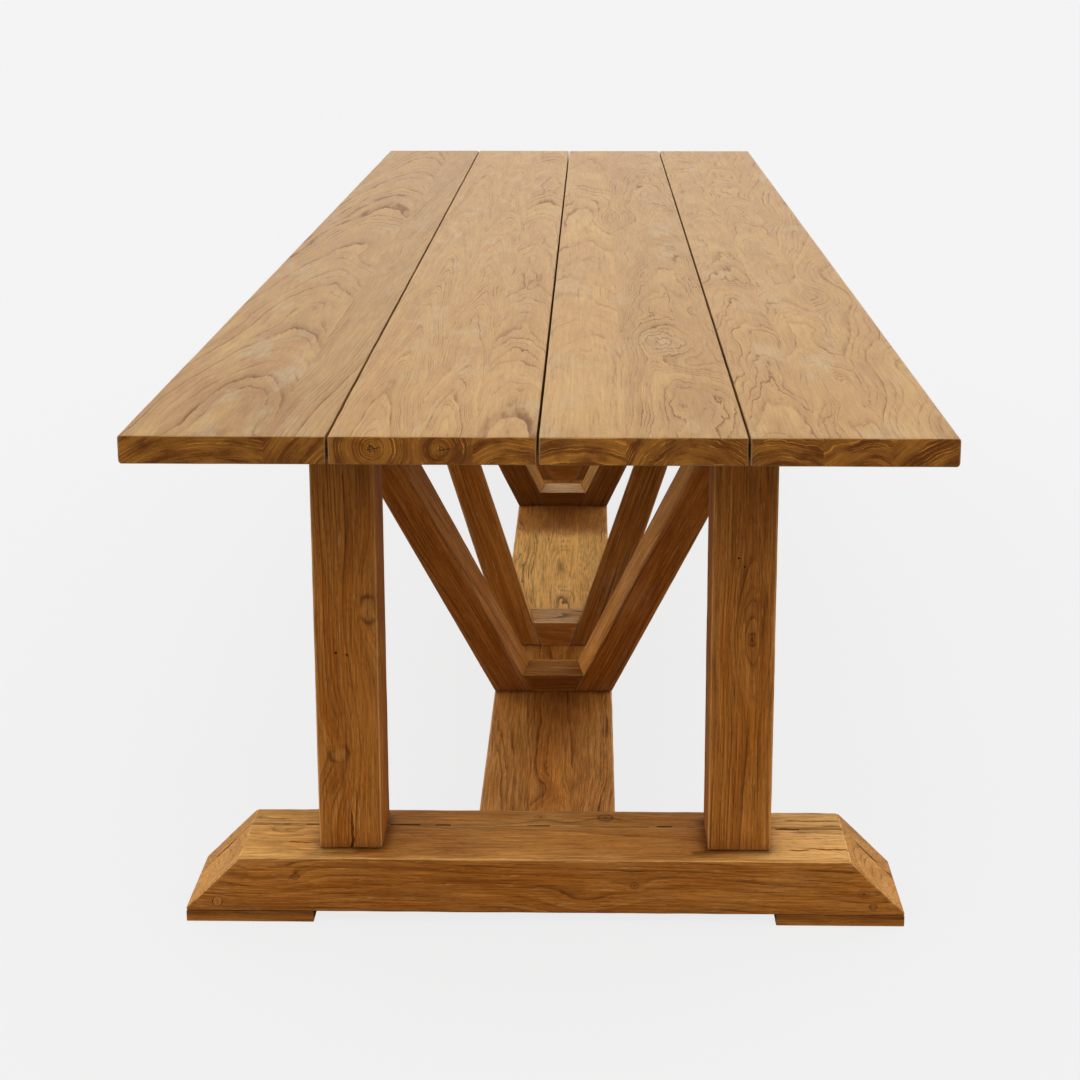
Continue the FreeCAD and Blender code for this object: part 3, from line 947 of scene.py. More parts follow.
# %% The screw finish
steel = bpy.data.materials.new("screw_steel")
steel.use_nodes = True
steel_tree = steel.node_tree
steel_shader = steel_tree.nodes["Principled BSDF"]
steel_shader.inputs["Metallic"].default_value = 1.0
steel_place = put(steel_tree, "ShaderNodeTexCoord").outputs["Object"]
smudges = clouds_of(steel_tree, stretch(steel_tree, steel_place, (140, 140, 140)))
plating = tint(steel_tree, smudges, (0.30, 0.29, 0.27, 1), (0.52, 0.51, 0.48, 1))
steel_tree.links.new(plating, steel_shader.inputs["Base Color"])
steel_tree.links.new(ramp(steel_tree, smudges, 0.3, 0.7, 0.32, 0.55), steel_shader.inputs["Roughness"])
finishes["screw_steel"] = steel
print("finishes:", sorted(finishes))

# %% [markdown]
# The top is four planks with open gaps. Each is glued up from two or three staves, so the
# staves are cut in first, then the edges are eased and rows are added along and across. One
# slab with painted gaps would show at the ends, and here every stave keeps its own rings.
# A stave's row holds its right edge, its heart (x and z), its place along the log, how far
# its rings spread, its tone and how lively its figure is.

# %% The planks' staves, knots and heart cracks
STAVES = {
    "top_plank_1": [
        (-0.326, -0.380, 0.560, 3.0, 1.3, -0.08, 0.35),
        (NO_LIMIT, -0.150, 0.640, 11.0, 1.2, -0.11, 0.3),
    ],
    "top_plank_2": [
        (-0.1497, -0.1979, 0.755, 21.0, 1.7, 0.00, 0.5),
        (-0.077, -0.1144, 0.754, 33.0, 1.7, 0.02, 0.8),
        (NO_LIMIT, -0.040, 0.680, 42.0, 1.2, 0.01, 0.7),
    ],
    "top_plank_3": [
        (0.105, 0.050, 0.610, 51.0, 0.8, 0.03, 0.6),
        (NO_LIMIT, 0.190, 0.690, 66.0, 1.3, -0.03, 1.2),
    ],
    "top_plank_4": [
        (0.338, 0.300, 0.670, 71.0, 1.3, 0.00, 1.0),
        (0.420, 0.390, 0.690, 83.0, 1.3, 0.01, 1.2),
        (NO_LIMIT, 0.520, 0.640, 95.0, 1.1, -0.01, 0.7),
    ],
}
PLANK_KNOTS = {
    "top_plank_1": [((-0.325, -0.26, 0.77), 0.05, 0.02, 0, 0)],
    "top_plank_2": [],
    "top_plank_3": [((0.198, -1.035, 0.77), 0.03, 0.02, 0, 0), ((0.132, 0.21, 0.77), 0.05, 0.03, 0, 0)],
    "top_plank_4": [((0.444, -0.575, 0.77), 0.05, 0.035, 0, 0), ((0.428, 0.218, 0.77), 0.04, 0.03, 0, 0)],
}
HEART_CRACKS = {"top_plank_2": []}
for x, z in ((-0.1979, 0.755), (-0.1144, 0.754)):
    for turn, length, slip in ((0.2, 0.020, 0.003), (1.6, 0.011, -0.002), (2.2, 0.015, 0.002)):
        way = Vector((math.cos(turn), 0, math.sin(turn)))
        HEART_CRACKS["top_plank_2"].append(((x + slip, -1.4, z), way, length, 0.0017, 0.004))
print("staves:", sum(len(rows) for rows in STAVES.values()))


# %% Plank jobs: cut the staves, round the outside
OUTER_ROUND = 0.0045


def cut_staves(board, staves):
    """Cuts a line down the board where two staves meet."""
    bpy.ops.object.mode_set(mode="EDIT")
    for stave in staves[:-1]:
        bpy.ops.mesh.select_all(action="SELECT")
        bpy.ops.mesh.bisect(plane_co=(stave[0], 0, 0), plane_no=(1, 0, 0))
    bpy.ops.object.mode_set(mode="OBJECT")


def round_outside(board):
    """Rounds the edges of the face that lies on the outside of the table, if the board has one."""
    outside = cad_box[1][0] - 1e-3
    bpy.ops.object.mode_set(mode="EDIT")
    found = pick_edges(board, lambda edge: all(abs(point.co.x) > outside for point in edge.verts))
    if found:
        bpy.ops.mesh.bevel(offset=OUTER_ROUND, segments=6, profile=0.5, affect="EDGES")
    bpy.ops.object.mode_set(mode="OBJECT")


print("plank jobs ready")

# %% The four top planks
PLANK_EASE = 0.0014


def top_paled_and_lit(places, normals):
    """The top's upward faces are paler, partly wear and partly painted light, but its near left corner stays
    browner.
    """
    pale, dirt_and_shade = up_faces_worn_and_lit(places, normals)
    corner = soft_step(-places[:, 0], 0.26, 0.32) * soft_step(-places[:, 1], 0.4, 1.0)
    return pale * (1 - 0.9 * corner), dirt_and_shade


for node, staves in STAVES.items():
    low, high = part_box(node)
    plank = rough_board(node + "_wood", low, high)
    cut_staves(plank, staves)
    round_outside(plank)
    sides = ease_edges(plank, PLANK_EASE)
    add_rows(plank, Y, spacing=0.028)
    add_rows(plank, Y, spacing=0.014)
    add_rows(plank, X, spacing=0.016)
    age(plank, sides, flat=0.0007, knocks=0.0012)
    cut_away(plank, [crack(place, way, Y, *sizes) for place, way, *sizes in HEART_CRACKS.get(node, [])])
    rows = [(limit, (x, 0, z), *rest) for limit, x, z, *rest in staves]
    lay_grain(plank, Y, X, rows, top_paled_and_lit)
    swell_at_knots(plank, Y, PLANK_KNOTS[node])
    hand_over(plank, node, "top_teak")
    print(node, faces_of(plank), "faces")

# %% [markdown]
# The posts are square lengths with eased corners. They are alike, so one is modelled and
# copied, and each copy then weathers in its own place and comes from its own log. Their
# tenons are hidden in the feet and cap beams, so only the length between those is made.

# %% Copy a board
def copy_board(board, name, step):
    """Copies a board with its own mesh, and moves the copy."""
    take(board)
    bpy.ops.object.duplicate()
    twin = bpy.context.object
    twin.name = name
    twin.data.name = name
    twin.location = step
    bpy.ops.object.transform_apply(location=True, rotation=True, scale=True)
    return twin


print("copying ready")

# %% The posts' logs, knots and nail holes
POST_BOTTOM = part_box("near_foot_outer_beam")[1].z
POST_FACE = -1.151
POSTS = {
    "near_left_post": ((-0.36, -1.16), 0.4),
    "near_right_post": ((0.283, -1.134), 4.0),
    "far_left_post": ((-0.20, 1.19), 8.0),
    "far_right_post": ((0.33, 1.03), 12.0),
}
POST_FIGURES = {"near_left_post": 0.6, "near_right_post": 0.25, "far_left_post": 0.6, "far_right_post": 0.4}
POST_KNOTS = {
    "near_left_post": [
        ((-0.240, POST_FACE, 0.451), 0.032, 0.030, 0.013, 0.0),
        ((-0.283, POST_FACE, 0.239), 0.030, -0.026, 0.011, 0.0),
    ],
    "near_right_post": [((0.283, POST_FACE, 0.411), 0.035, -0.020, 0.006, 1.0)],
    "far_left_post": [((-0.262, -POST_FACE, 0.30), 0.032, 0.030, 0.010, 0.5)],
    "far_right_post": [((0.27, -POST_FACE, 0.52), 0.032, 0.028, 0.009, 0.8)],
}
NAIL_DEPTH = 0.006
NAIL_HOLES = {
    "near_left_post": [((-0.285, POST_FACE, 0.389), 0.002), ((-0.270, POST_FACE, 0.386), 0.0023)],
    "near_right_post": [((0.263, POST_FACE, 0.528), 0.0016), ((0.271, POST_FACE, 0.516), 0.0016)],
}
SPLITS = {"near_left_post": [((-0.269, POST_FACE, 0.112), 0.090, 0.004, 0.009)]}
print("posts:", sorted(POSTS))


# %% The four posts
def post_foot_dirt_and_shade(places, normals):
    """Dirt and painted contact shade darken the foot of a post."""
    return np.zeros(len(places)), 0.6 * np.exp(-(places[:, 2] - POST_BOTTOM) / 0.010)


first_low, first_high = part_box("near_left_post")
first_low.z = POST_BOTTOM
first_high.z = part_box("near_cap_beam")[0].z
post_model = rough_board("post_model", first_low, first_high)
post_sides = ease_edges(post_model, radius=0.003)
add_rows(post_model, Z)
add_rows(post_model, X)
add_rows(post_model, Y)
for node, (heart, log) in POSTS.items():
    low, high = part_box(node)
    step = (low + high) / 2 - (first_low + first_high) / 2
    step.z = 0
    post = copy_board(post_model, node + "_wood", step)
    age(post, post_sides, flat=0.0006, knocks=0.004)
    divide_at(post, [(knot[0], 1.5 * knot[1]) for knot in POST_KNOTS[node]])
    tools = [nail_hole(place, Y, radius, NAIL_DEPTH) for place, radius in NAIL_HOLES.get(node, [])]
    tools += [crack(place, Z, Y, *sizes) for place, *sizes in SPLITS.get(node, [])]
    cut_away(post, tools)
    lay_grain(post, Z, X, [(NO_LIMIT, (*heart, 0), log, 1.0, 0.0, POST_FIGURES[node])], post_foot_dirt_and_shade)
    swell_at_knots(post, Z, POST_KNOTS[node])
    hand_over(post, node, "post_teak")
    print(node, faces_of(post), "faces")
bpy.data.objects.remove(post_model)

# %% [markdown]
# A foot is two beams glued side by side: a deep one outside and a slim one inside. Each end is
# cut down at 45 degrees to a thin nose. The middle length is a block, its end faces are pulled
# out to the full length, and the upper edge of each end is brought down to the nose. A
# Boolean cut would do too, but pulled corners keep the mesh in clean rows for the weathering.

# %% The feet: slide points, pull out an end
def slide_points(board, wanted, step):
    """Moves the points that pass the test."""
    bpy.ops.object.mode_set(mode="EDIT")
    bpy.ops.mesh.select_mode(type="VERT")
    bpy.ops.mesh.select_all(action="DESELECT")
    shape = bmesh.from_edit_mesh(board.data)
    for point in shape.verts:
        point.select_set(wanted(point.co))
    bmesh.update_edit_mesh(board.data)
    bpy.ops.transform.translate(value=step)
    bpy.ops.object.mode_set(mode="OBJECT")


def pull_out_end(board, reach, full, drop):
    """Pulls one end of a beam out and brings its upper edge down."""
    toward = X if reach > 0 else -X
    bpy.ops.object.mode_set(mode="EDIT")
    bpy.ops.mesh.select_mode(type="FACE")
    bpy.ops.mesh.select_all(action="DESELECT")
    shape = bmesh.from_edit_mesh(board.data)
    for side in shape.faces:
        side.select_set(side.normal.dot(toward) > 0.99)
    bmesh.update_edit_mesh(board.data)
    bpy.ops.mesh.extrude_region_move(TRANSFORM_OT_translate={"value": (reach, 0, 0)})
    bpy.ops.object.mode_set(mode="OBJECT")
    top = max(point.co.z for point in board.data.vertices) - TOUCH
    slide_points(board, lambda place: abs(place.x - full) < TOUCH and place.z > top, (0, 0, -drop))


print("end job ready")

# %% The feet: their logs, plugs, knots and cracks
FEET = {
    "near_foot_outer_beam": (-1.14, -0.02, 1.0),
    "near_foot_inner_beam": (-1.00, 0.12, 5.0),
    "far_foot_outer_beam": (1.20, 0.02, 9.0),
    "far_foot_inner_beam": (1.02, 0.14, 14.0),
}
PLUG_RADIUS = 0.0062
PLUG_GAPS = (0.0010, 0.0)
PLUG_HOLE_DEPTH = 0.004
PLUG_SPOTS = [(x, y, 0.030) for x in (-0.456, 0.456) for y in (-1.175, 1.175)]
FOOT_KNOTS = {
    "near_foot_outer_beam": [
        ((-0.402, -1.175, 0.068), 0.030, 0.022, 0, 0),
        ((0.443, -1.175, 0.049), 0.014, 0.010, 0.006, 1.0),
        ((0.125, -1.175, 0.059), 0.014, 0.010, 0.004, 0.9),
        ((-0.346, -1.175, 0.069), 0.012, 0.008, 0.0035, 0.9),
        ((-0.370, -1.101, 0.098), 0.014, 0.010, 0.0045, 0.9),
        ((0.055, -1.175, 0.030), 0.030, 0.020, 0, 0),
    ],
    "near_foot_inner_beam": [
        ((-0.008, -1.059, 0.098), 0.018, 0.014, 0.006, 1.0),
        ((0.085, -1.060, 0.098), 0.018, 0.014, 0.007, 1.0),
        ((-0.414, -1.065, 0.098), 0.014, 0.010, 0.0045, 1.0),
    ],
    "far_foot_outer_beam": [
        ((0.21, 1.175, 0.055), 0.026, 0.020, 0.007, 0.8),
        ((-0.39, 1.175, 0.060), 0.016, 0.012, 0.004, 1.0),
    ],
    "far_foot_inner_beam": [((0.10, 1.055, 0.098), 0.018, 0.014, 0.006, 0.9)],
}
FOOT_CRACKS = {
    "near_foot_outer_beam": [
        ((-0.337, -1.134, 0.098), 0.050, 0.0040, 0.006),
        ((0.395, -1.143, 0.098), 0.070, 0.0038, 0.006),
        ((0.355, -1.146, 0.098), 0.030, 0.0032, 0.005),
    ],
    "near_foot_inner_beam": [((0.372, -1.066, 0.098), 0.060, 0.0034, 0.005)],
    "far_foot_outer_beam": [((-0.372, 1.120, 0.098), 0.090, 0.003, 0.008)],
}
GLUE_LINE = 1.084
OPEN_JOINT = [
    ((0.345, -GLUE_LINE, 0.098), (0.034, 0.0130, 0.024), 0.0),
    ((0.389, -GLUE_LINE, 0.098), (0.070, 0.0100, 0.024), 0.0),
    ((0.459, -GLUE_LINE, 0.063), (0.110, 0.0105, 0.020), math.pi / 4),
]
print("foot knots:", sum(len(knots) for knots in FOOT_KNOTS.values()))


# %% The feet: shoe wear, dirt, painted light and painted shade
def foot_wear_light_and_shade(places, normals):
    """The tops are paler, most at the sloping ends and the end tops, the right end most: partly shoe wear,
    partly painted light. Dirt and painted shade gather round the posts, the glue line is dark, and painted
    shade darkens the lower edge and the open joint.
    """
    up = soft_step(normals[:, 2], 0.5, 0.68)
    ends = soft_step(np.abs(places[:, 0]), 0.24, 0.33)
    flat = soft_step(normals[:, 2], 0.72, 0.95)
    right_end = soft_step(places[:, 0], 0.25, 0.35)
    right = 0.75 * right_end * flat
    right -= 0.12 * soft_step(-places[:, 0], 0.25, 0.35)
    slope = (0.28 + 0.22 * right_end) * (1 - flat)
    # Painted shade on the lower edge, where its rounding would catch light.
    lower_edge_shade = 0.5 * soft_step(-places[:, 2], -0.020, -0.014)
    soil_and_shade = np.max([contact_dirt_and_shade(places, *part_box(post)) for post in POSTS], 0)
    beside = np.abs(places[:, 1]) - GLUE_LINE
    joint = 0.6 * np.exp(-(beside / 0.0015) ** 2)
    # Painted shade on the faces inside the open joint.
    open_joint_shade = np.exp(-(beside / 0.012) ** 4) * soft_step(np.abs(normals[:, 1]), 0.8, 0.9)
    soil_and_shade = up * np.maximum(0.75 * soil_and_shade, joint)
    return up * (0.38 + 0.62 * ends + right - slope * ends), np.max([soil_and_shade, lower_edge_shade, open_joint_shade], 0)


print("foot wear ready")

# %% The feet: four beams
NOSE = 0.005
INNER_TONE = -0.12
for node, (heart_y, heart_z, log) in FEET.items():
    low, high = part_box(node)
    fall = high.z - low.z - NOSE
    beam = rough_board(node + "_wood", (low.x + fall, low.y, low.z), (high.x - fall, high.y, high.z))
    pull_out_end(beam, fall, high.x, fall)
    pull_out_end(beam, -fall, low.x, fall)
    sides = ease_edges(beam, radius=0.0022)
    add_rows(beam, X, ROW, lambda middle: abs(middle.x) < high.x - fall)
    add_rows(beam, X, ROW, lambda middle: abs(middle.x) > high.x - fall)
    add_rows(beam, Y)
    add_rows(beam, Z, ROW, lambda middle: abs(middle.x) < high.x - 0.004)
    age(beam, sides, flat=0.0008, knocks=0.005)
    divide_at(beam, [(knot[0], 3 * knot[3]) for knot in FOOT_KNOTS[node] if knot[3]])
    tools = [crack(place, X, -Z, *sizes) for place, *sizes in FOOT_CRACKS.get(node, [])]
    if node == "near_foot_outer_beam":
        tools += [kerf(*row) for row in OPEN_JOINT]
    if "outer" in node:
        outside = [spot for spot in PLUG_SPOTS if spot[1] * heart_y > 0]
        for spot in outside:
            tools.append(nail_hole(spot, Y, PLUG_RADIUS + PLUG_GAPS[spot[0] > 0], PLUG_HOLE_DEPTH))
    cut_away(beam, tools + screw_holes(beam, ["post_lag_screws", "stretcher_screws"]))
    tone = INNER_TONE if "inner" in node else 0.0
    lay_grain(beam, X, Y, [(NO_LIMIT, (0, heart_y, heart_z), log, 1.0, tone, 0.6)], foot_wear_light_and_shade)
    swell_at_knots(beam, X, FOOT_KNOTS[node])
    hand_over(beam, node, "foot_teak")
    print(node, faces_of(beam), "faces")

# %% [markdown]
# A pad under each end of each foot keeps the foot off the floor. It is a plain block with
# eased edges and two counterbored screws from below, so the foot can stand on rough ground.

# %% The floor pads
def pad_darker_at_top(places, normals):
    """A pad is darker at its top, where it meets the foot."""
    return np.zeros(len(places)), 0.6 * soft_step(places[:, 2], 0.012, 0.015)


for number, node in enumerate(("near_left_pad", "near_right_pad", "far_left_pad", "far_right_pad")):
    low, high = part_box(node)
    pad = rough_board(node + "_wood", low, high)
    sides = ease_edges(pad, radius=0.0012)
    add_rows(pad, X)
    add_rows(pad, Y)
    age(pad, sides, flat=0.0003, knocks=0.0015)
    cut_away(pad, screw_holes(pad, ["pad_screws"]))
    lay_grain(pad, X, Y, [(NO_LIMIT, (0, low.y - 0.02, -0.05), 3.0 * number, 1.0, 0.0, 0.6)], pad_darker_at_top)
    swell_at_knots(pad, X, [])
    hand_over(pad, node, "foot_teak")
print("pads", faces_of(pad), "faces each")

# %% [markdown]
# The stretcher is one wide flat board, tenoned into both feet and glued up from three strips.
# The tenons are hidden, so the board is made between the feet. Its middle is pale, partly
# walked by shoes and partly painted light, and towards the braces it is darkened by painted
# shade. That is noted on the board itself, because it belongs to this board and not to the wood.

# %% The stretcher: three strips
STRIPS = [
    (-0.027, (-0.10, 0, -0.02), 2.0, 1.2, -0.06, 0.5),
    (0.036, (0.006, 0, 0.055), 9.0, 1.2, 0.06, 0.8),
    (NO_LIMIT, (0.12, 0, 0.06), 16.0, 2.0, -0.02, 1.3),
]
low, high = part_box("stretcher")
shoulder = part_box("near_foot_inner_beam")[1].y
stretcher = rough_board("stretcher_wood", (low.x, shoulder, low.z), (high.x, -shoulder, high.z))
cut_staves(stretcher, STRIPS)
sides = ease_edges(stretcher, radius=0.003)
add_rows(stretcher, Y, 2 * ROW)
add_rows(stretcher, Y)
add_rows(stretcher, X, spacing=0.012)
add_rows(stretcher, Z, spacing=0.012)
age(stretcher, sides, flat=0.0008, knocks=0.004)
cut_away(stretcher, screw_holes(stretcher, ["brace_base_screws"]))
print("stretcher", faces_of(stretcher), "faces")

# %% The stretcher: walked, scuffed and dirty, with painted light and shade
STRETCHER_KNOTS = [
    ((0.008, 0.124, 0.088), 0.020, 0.016, 0, 0),
    ((0.009, -0.134, 0.088), 0.018, 0.014, 0.005, 0.5),
    ((0.060, 0.02, 0.088), 0.016, 0.012, 0, 0),
    ((-0.060, 0.24, 0.088), 0.018, 0.014, 0, 0),
    ((-0.007, -0.965, 0.088), 0.020, 0.015, 0, 0),
]
SCUFFS = [
    (-0.012, -0.970, 0.012, 0.03, 0.7),
    (0.040, -0.945, 0.010, 0.03, 0.5),
    (0.075, 0.22, 0.02, 0.06, 0.5),
]
# Rows are (place along, paleness, darkening): the paleness is shoe wear and painted light, the darkening is
# painted shade towards the braces.
WALK_LIGHT_AND_SHADE = [
    (-0.90, 0.04, 0.08),
    (-0.80, 0.04, 0.36),
    (-0.70, 0.04, 0.55),
    (-0.62, 0.04, 0.60),
    (-0.55, 0.10, 0.30),
    (-0.42, 0.10, 0.30),
    (-0.36, 1.00, 0.00),
    (0.15, 1.00, 0.00),
    (0.23, 0.10, 0.42),
    (0.36, 0.04, 0.55),
    (0.42, 0.10, 0.30),
    (0.55, 0.10, 0.30),
    (0.62, 0.04, 0.60),
    (0.80, 0.04, 0.36),
    (0.90, 0.04, 0.08),
]
WALK_LINE = 0.008
RUBBED_FROM = 0.035
SHADED_TO = 0.055
BRACE_FEET = []
for y in (-0.6166, -0.424, 0.3574, 0.550):
    BRACE_FEET.append((Vector((-0.1, y, 0.088)), Vector((0.1, y + 0.0666, 0.126))))
print("scuffs:", len(SCUFFS), "brace feet:", len(BRACE_FEET))


# %% The stretcher: wear, painted light and shade, and finish
def stretcher_wear_light_and_shade(places, normals):
    """The middle is pale, walked and painted light, and painted shade darkens the ends towards the braces,
    least along their sides.
    """
    up = soft_step(normals[:, 2], 0.5, 0.7)
    stops, pale, dark = zip(*WALK_LIGHT_AND_SHADE)
    beside = places[:, 0] - WALK_LINE
    sides = 1 - np.exp(-(beside / RUBBED_FROM) ** 2)
    pale = np.maximum(np.interp(places[:, 1], stops, pale), 0.04 + 0.22 * sides)
    # Painted shade towards the braces.
    dark = np.interp(places[:, 1], stops, dark) * np.exp(-(beside / SHADED_TO) ** 2)
    soil_and_shade = np.max([contact_dirt_and_shade(places, *brace_foot) for brace_foot in BRACE_FEET], 0)
    for x, y, wide, long, depth in SCUFFS:
        away = ((places[:, 0] - x) / wide) ** 2 + ((places[:, 1] - y) / long) ** 2
        soil_and_shade = np.maximum(soil_and_shade, depth * np.exp(-away))
    return up * pale, up * np.maximum(0.6 * soil_and_shade, dark)


lay_grain(stretcher, Y, X, STRIPS, stretcher_wear_light_and_shade)
swell_at_knots(stretcher, Y, STRETCHER_KNOTS)
hand_over(stretcher, "stretcher", "stretcher_teak")
print("stretcher", faces_of(stretcher), "faces")

# %% [markdown]
# Each V brace has two legs that splay to the sides and lean along the table, with a small
# sill between them. A leg is cut level at both ends, so it is a block whose back corners are
# slid in a little and whose upper end is slid out and along. One leg is modelled and the
# other seven are mirrored copies, with their faces turned outwards again.

# %% The brace legs
LEG_BOTTOM = 0.088
LEG_TOP = 0.670
LEG_FRONT = -0.6166
LEG_BACK = -0.5500
LEG_OUTSIDE = 0.1000
LEG_INSIDE = 0.0364
BACK_SLIDE = 0.0102
LEG_SPLAY = 0.2281
LEG_LEAN = 0.2807


def mirror_board(board, name, flip, step):
    """Copies a board, mirrors the copy about the table's centre planes and moves it."""
    twin = copy_board(board, name, (0, 0, 0))
    twin.scale = flip
    bpy.ops.object.transform_apply(location=True, rotation=True, scale=True)
    twin.location = step
    bpy.ops.object.transform_apply(location=True, rotation=True, scale=True)
    bpy.ops.object.mode_set(mode="EDIT")
    bpy.ops.mesh.select_all(action="SELECT")
    bpy.ops.mesh.normals_make_consistent(inside=False)
    bpy.ops.object.mode_set(mode="OBJECT")
    return twin


leg_model = rough_board(
    "leg_model", (-LEG_OUTSIDE, LEG_FRONT, LEG_BOTTOM), (-LEG_INSIDE, LEG_BACK, LEG_TOP)
)
slide_points(leg_model, lambda place: place.y > LEG_BACK - TOUCH, (BACK_SLIDE, 0, 0))
slide_points(leg_model, lambda place: place.z > LEG_TOP - TOUCH, (-LEG_SPLAY, -LEG_LEAN, 0))
ease_edges(leg_model, radius=0.0025)
add_rows(leg_model, Z)
add_rows(leg_model, X)
add_rows(leg_model, Y)
print("leg model", faces_of(leg_model), "faces")

# %% Eight legs from one
BRACES = {
    "brace_1": (1, 0.0),
    "brace_2": (-1, -0.974),
    "brace_3": (1, 0.974),
    "brace_4": (-1, 0.0),
}
# Each leg's tone paints light and shade: brace 1 a little lighter, brace 2's right leg and braces 3 and 4
# darker.
LEG_SHADE_TONES = {
    "brace_1": (0.06, 0.08), "brace_2": (0.0, -0.25), "brace_3": (-0.32, -0.30), "brace_4": (-0.2, -0.2),
}
# How much painted light pales each leg's inner face.
INNER_PAINTED_LIGHT = {"brace_1": (0.15, 0.45), "brace_2": (1, 1), "brace_3": (1, 1), "brace_4": (0.5, 0.5)}
SIDES = {"left_leg": 1, "right_leg": -1}


def leg_light_and_shade(way, pale):
    """Painted light makes the faces that look in and up at each other paler than the fronts, and painted
    shade darkens the foot of each leg.
    """
    def wear_and_light(places, normals):
        inside = soft_step(normals[:, 0] * way, 0.6, 0.8)
        rise = places[:, 2] - LEG_BOTTOM
        soil_and_shade = np.maximum(0.5 * np.exp(-rise / 0.008), 0.3 * (1 - inside) * np.exp(-rise / 0.09))
        return pale * inside, soil_and_shade

    return wear_and_light


leg_count = 0
for brace, (flip_y, step_y) in BRACES.items():
    for part, flip_x in SIDES.items():
        node = brace + "_" + part
        leg = mirror_board(leg_model, node + "_wood", (flip_x, flip_y, 1), (0, step_y, 0))
        along = Vector((-flip_x * LEG_SPLAY, -flip_y * LEG_LEAN, LEG_TOP - LEG_BOTTOM)).normalized()
        across = (X - along * along.x).normalized()
        low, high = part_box(node)
        middle = (low + high) / 2
        heart = middle + across * (0.05 if leg_count % 2 else -0.06) + across.cross(along) * 0.045
        plain = [across, -across, across.cross(along), -across.cross(along), Z, -Z]
        age(leg, plain, flat=0.0006, knocks=0.003)
        tone = LEG_SHADE_TONES[brace][flip_x < 0]
        wear_and_light = leg_light_and_shade(flip_x, INNER_PAINTED_LIGHT[brace][flip_x < 0])
        lay_grain(leg, along, across, [(NO_LIMIT, tuple(heart), 3.0 * leg_count, 1.0, tone, 0.5)], wear_and_light)
        swell_at_knots(leg, along, [])
        hand_over(leg, node, "brace_teak")
        leg_count += 1
bpy.data.objects.remove(leg_model)
print(leg_count, "brace legs")

# %% [markdown]
# The sill is a short block with sloping ends, so that it wedges between the two legs. Its
# corners are slid as the legs' are, so that the two agree along the joint. Each row of the
# table below says how much painted light and wear pale its top, how much painted shade darkens
# its sides, and its tone, which paints light and shade too.

# %% The sills
SILL_TOP = 0.126
SILL_SLOPE = 0.0149
SILL_LEAN = 0.0183
SILL_ROW = 0.008
sill_model = rough_board(
    "sill_model", (-LEG_INSIDE, LEG_FRONT, LEG_BOTTOM), (LEG_INSIDE, LEG_BACK, SILL_TOP)
)
for way in (1, -1):
    slide_points(
        sill_model, lambda place: place.y > LEG_BACK - TOUCH and place.x * way > 0, (-way * BACK_SLIDE, 0, 0)
    )
    slide_points(
        sill_model, lambda place: place.z > SILL_TOP - TOUCH and place.x * way > 0, (way * SILL_SLOPE, 0, 0)
    )
slide_points(sill_model, lambda place: place.z > SILL_TOP - TOUCH, (0, -SILL_LEAN, 0))
sill_sides = ease_edges(sill_model, radius=0.0015)
add_rows(sill_model, X, SILL_ROW)
add_rows(sill_model, Y, SILL_ROW)
add_rows(sill_model, Z, SILL_ROW)
# Rows are (top pale, sides dark, tone): painted light and wear pale the top, painted shade darkens the sides,
# and the tone paints light and shade too.
SILL_LIGHT_SHADE_TONE = [(0.45, 0.10, -0.25), (2.0, 0.35, 0.12), (2.0, 0.70, 0.35), (1.6, 0.35, 0.0)]


def sill_light_and_shade(lit_top, shaded_sides):
    """Painted light, with some wear, pales the top of a sill, and painted shade darkens its sides."""
    def wear_and_light(places, normals):
        up = soft_step(normals[:, 2], 0.5, 0.7)
        return up * lit_top, shaded_sides * (1 - up)

    return wear_and_light


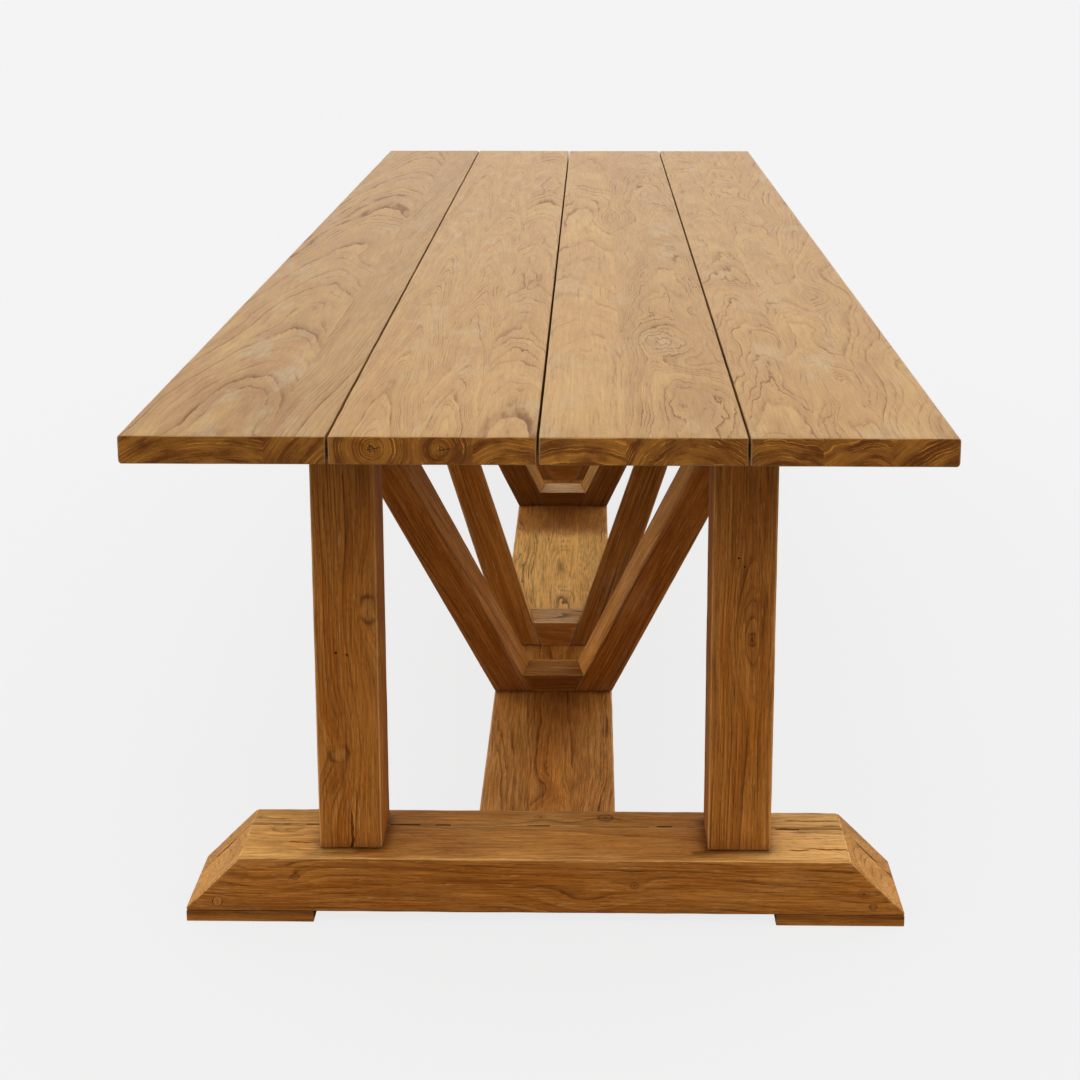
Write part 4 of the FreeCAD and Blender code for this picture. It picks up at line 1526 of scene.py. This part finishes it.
for number, (brace, (flip_y, step_y)) in enumerate(BRACES.items()):
    node = brace + "_sill"
    sill = mirror_board(sill_model, node + "_wood", (1, flip_y, 1), (0, step_y, 0))
    turned = [Vector((side.x, side.y * flip_y, side.z)) for side in sill_sides]
    age(sill, turned, flat=0.0005, knocks=0.002)
    heart = (0, LEG_FRONT * flip_y + step_y, 0.06)
    lit_top, shaded_sides, tone = SILL_LIGHT_SHADE_TONE[number]
    lay_grain(sill, X, Y, [(NO_LIMIT, heart, 5.0 * number, 1.0, tone, 0.9)], sill_light_and_shade(lit_top, shaded_sides))
    swell_at_knots(sill, X, [])
    hand_over(sill, node, "brace_teak")
bpy.data.objects.remove(sill_model)
print("sills", faces_of(sill), "faces each")

# %% [markdown]
# Screws hold each slim inner beam to its outer beam, and a round wood plug covers each screw
# head at the outer face of the foot. The plug is a short cylinder with a softened rim. The
# left plugs have shrunk a little and stand proud, the right ones are still tight and flush.

# %% The foot plugs
PLUG_PROUD = (0.0006, 0.0002)
PLUG_LENGTH = 0.008
plugs = []
for x, y, z in PLUG_SPOTS:
    outward = math.copysign(1, y)
    take()
    bpy.ops.mesh.primitive_cylinder_add(
        vertices=28, radius=PLUG_RADIUS, depth=PLUG_LENGTH, rotation=(math.pi / 2, 0, 0),
        location=(x, y - outward * (PLUG_LENGTH / 2 - PLUG_PROUD[x > 0]), z),
    )
    plug = bpy.context.object
    bpy.ops.object.transform_apply(location=True, rotation=True, scale=True)
    ease_edges(plug, radius=0.0006)
    plugs.append(plug)
take(*plugs)
bpy.ops.object.join()
plug_set = plugs[0]
plug_set.name = "foot_plugs_wood"
plug_set.data.name = "foot_plugs_wood"
PLUG_GRAIN = [(0, (0.01, 0, 0), 1.0, 1.0, 0.14, 0.5), (NO_LIMIT, (0.01, 0, 0), 4.0, 1.0, -0.16, 0.5)]
lay_grain(plug_set, Y, X, PLUG_GRAIN)
hand_over(plug_set, "foot_plugs", "plug_wood")
print("plugs", faces_of(plug_set), "faces")

# %% [markdown]
# The cap beams, the bearers and the fasteners keep their measured shapes, holes and all. They
# only need their finishes: bearers in the same oiled teak, and the screws in dull steel.

# %% Finish the measured pieces that stay
KEPT = {
    "bearer_teak": ["near_cap_beam", "far_cap_beam"] + [brace + "_bearer" for brace in BRACES],
    "dowel_wood": ["sill_dowels"],
    "screw_steel": [
        "plank_screws", "cap_screws", "brace_top_screws", "post_lag_screws", "brace_base_screws",
        "pad_screws", "stretcher_screws", "foot_screws",
    ],
}
for slot, nodes in KEPT.items():
    for node in nodes:
        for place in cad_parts[node].material_slots:
            place.material = finishes[slot]
print("kept:", sum(len(nodes) for nodes in KEPT.values()), "measured pieces")
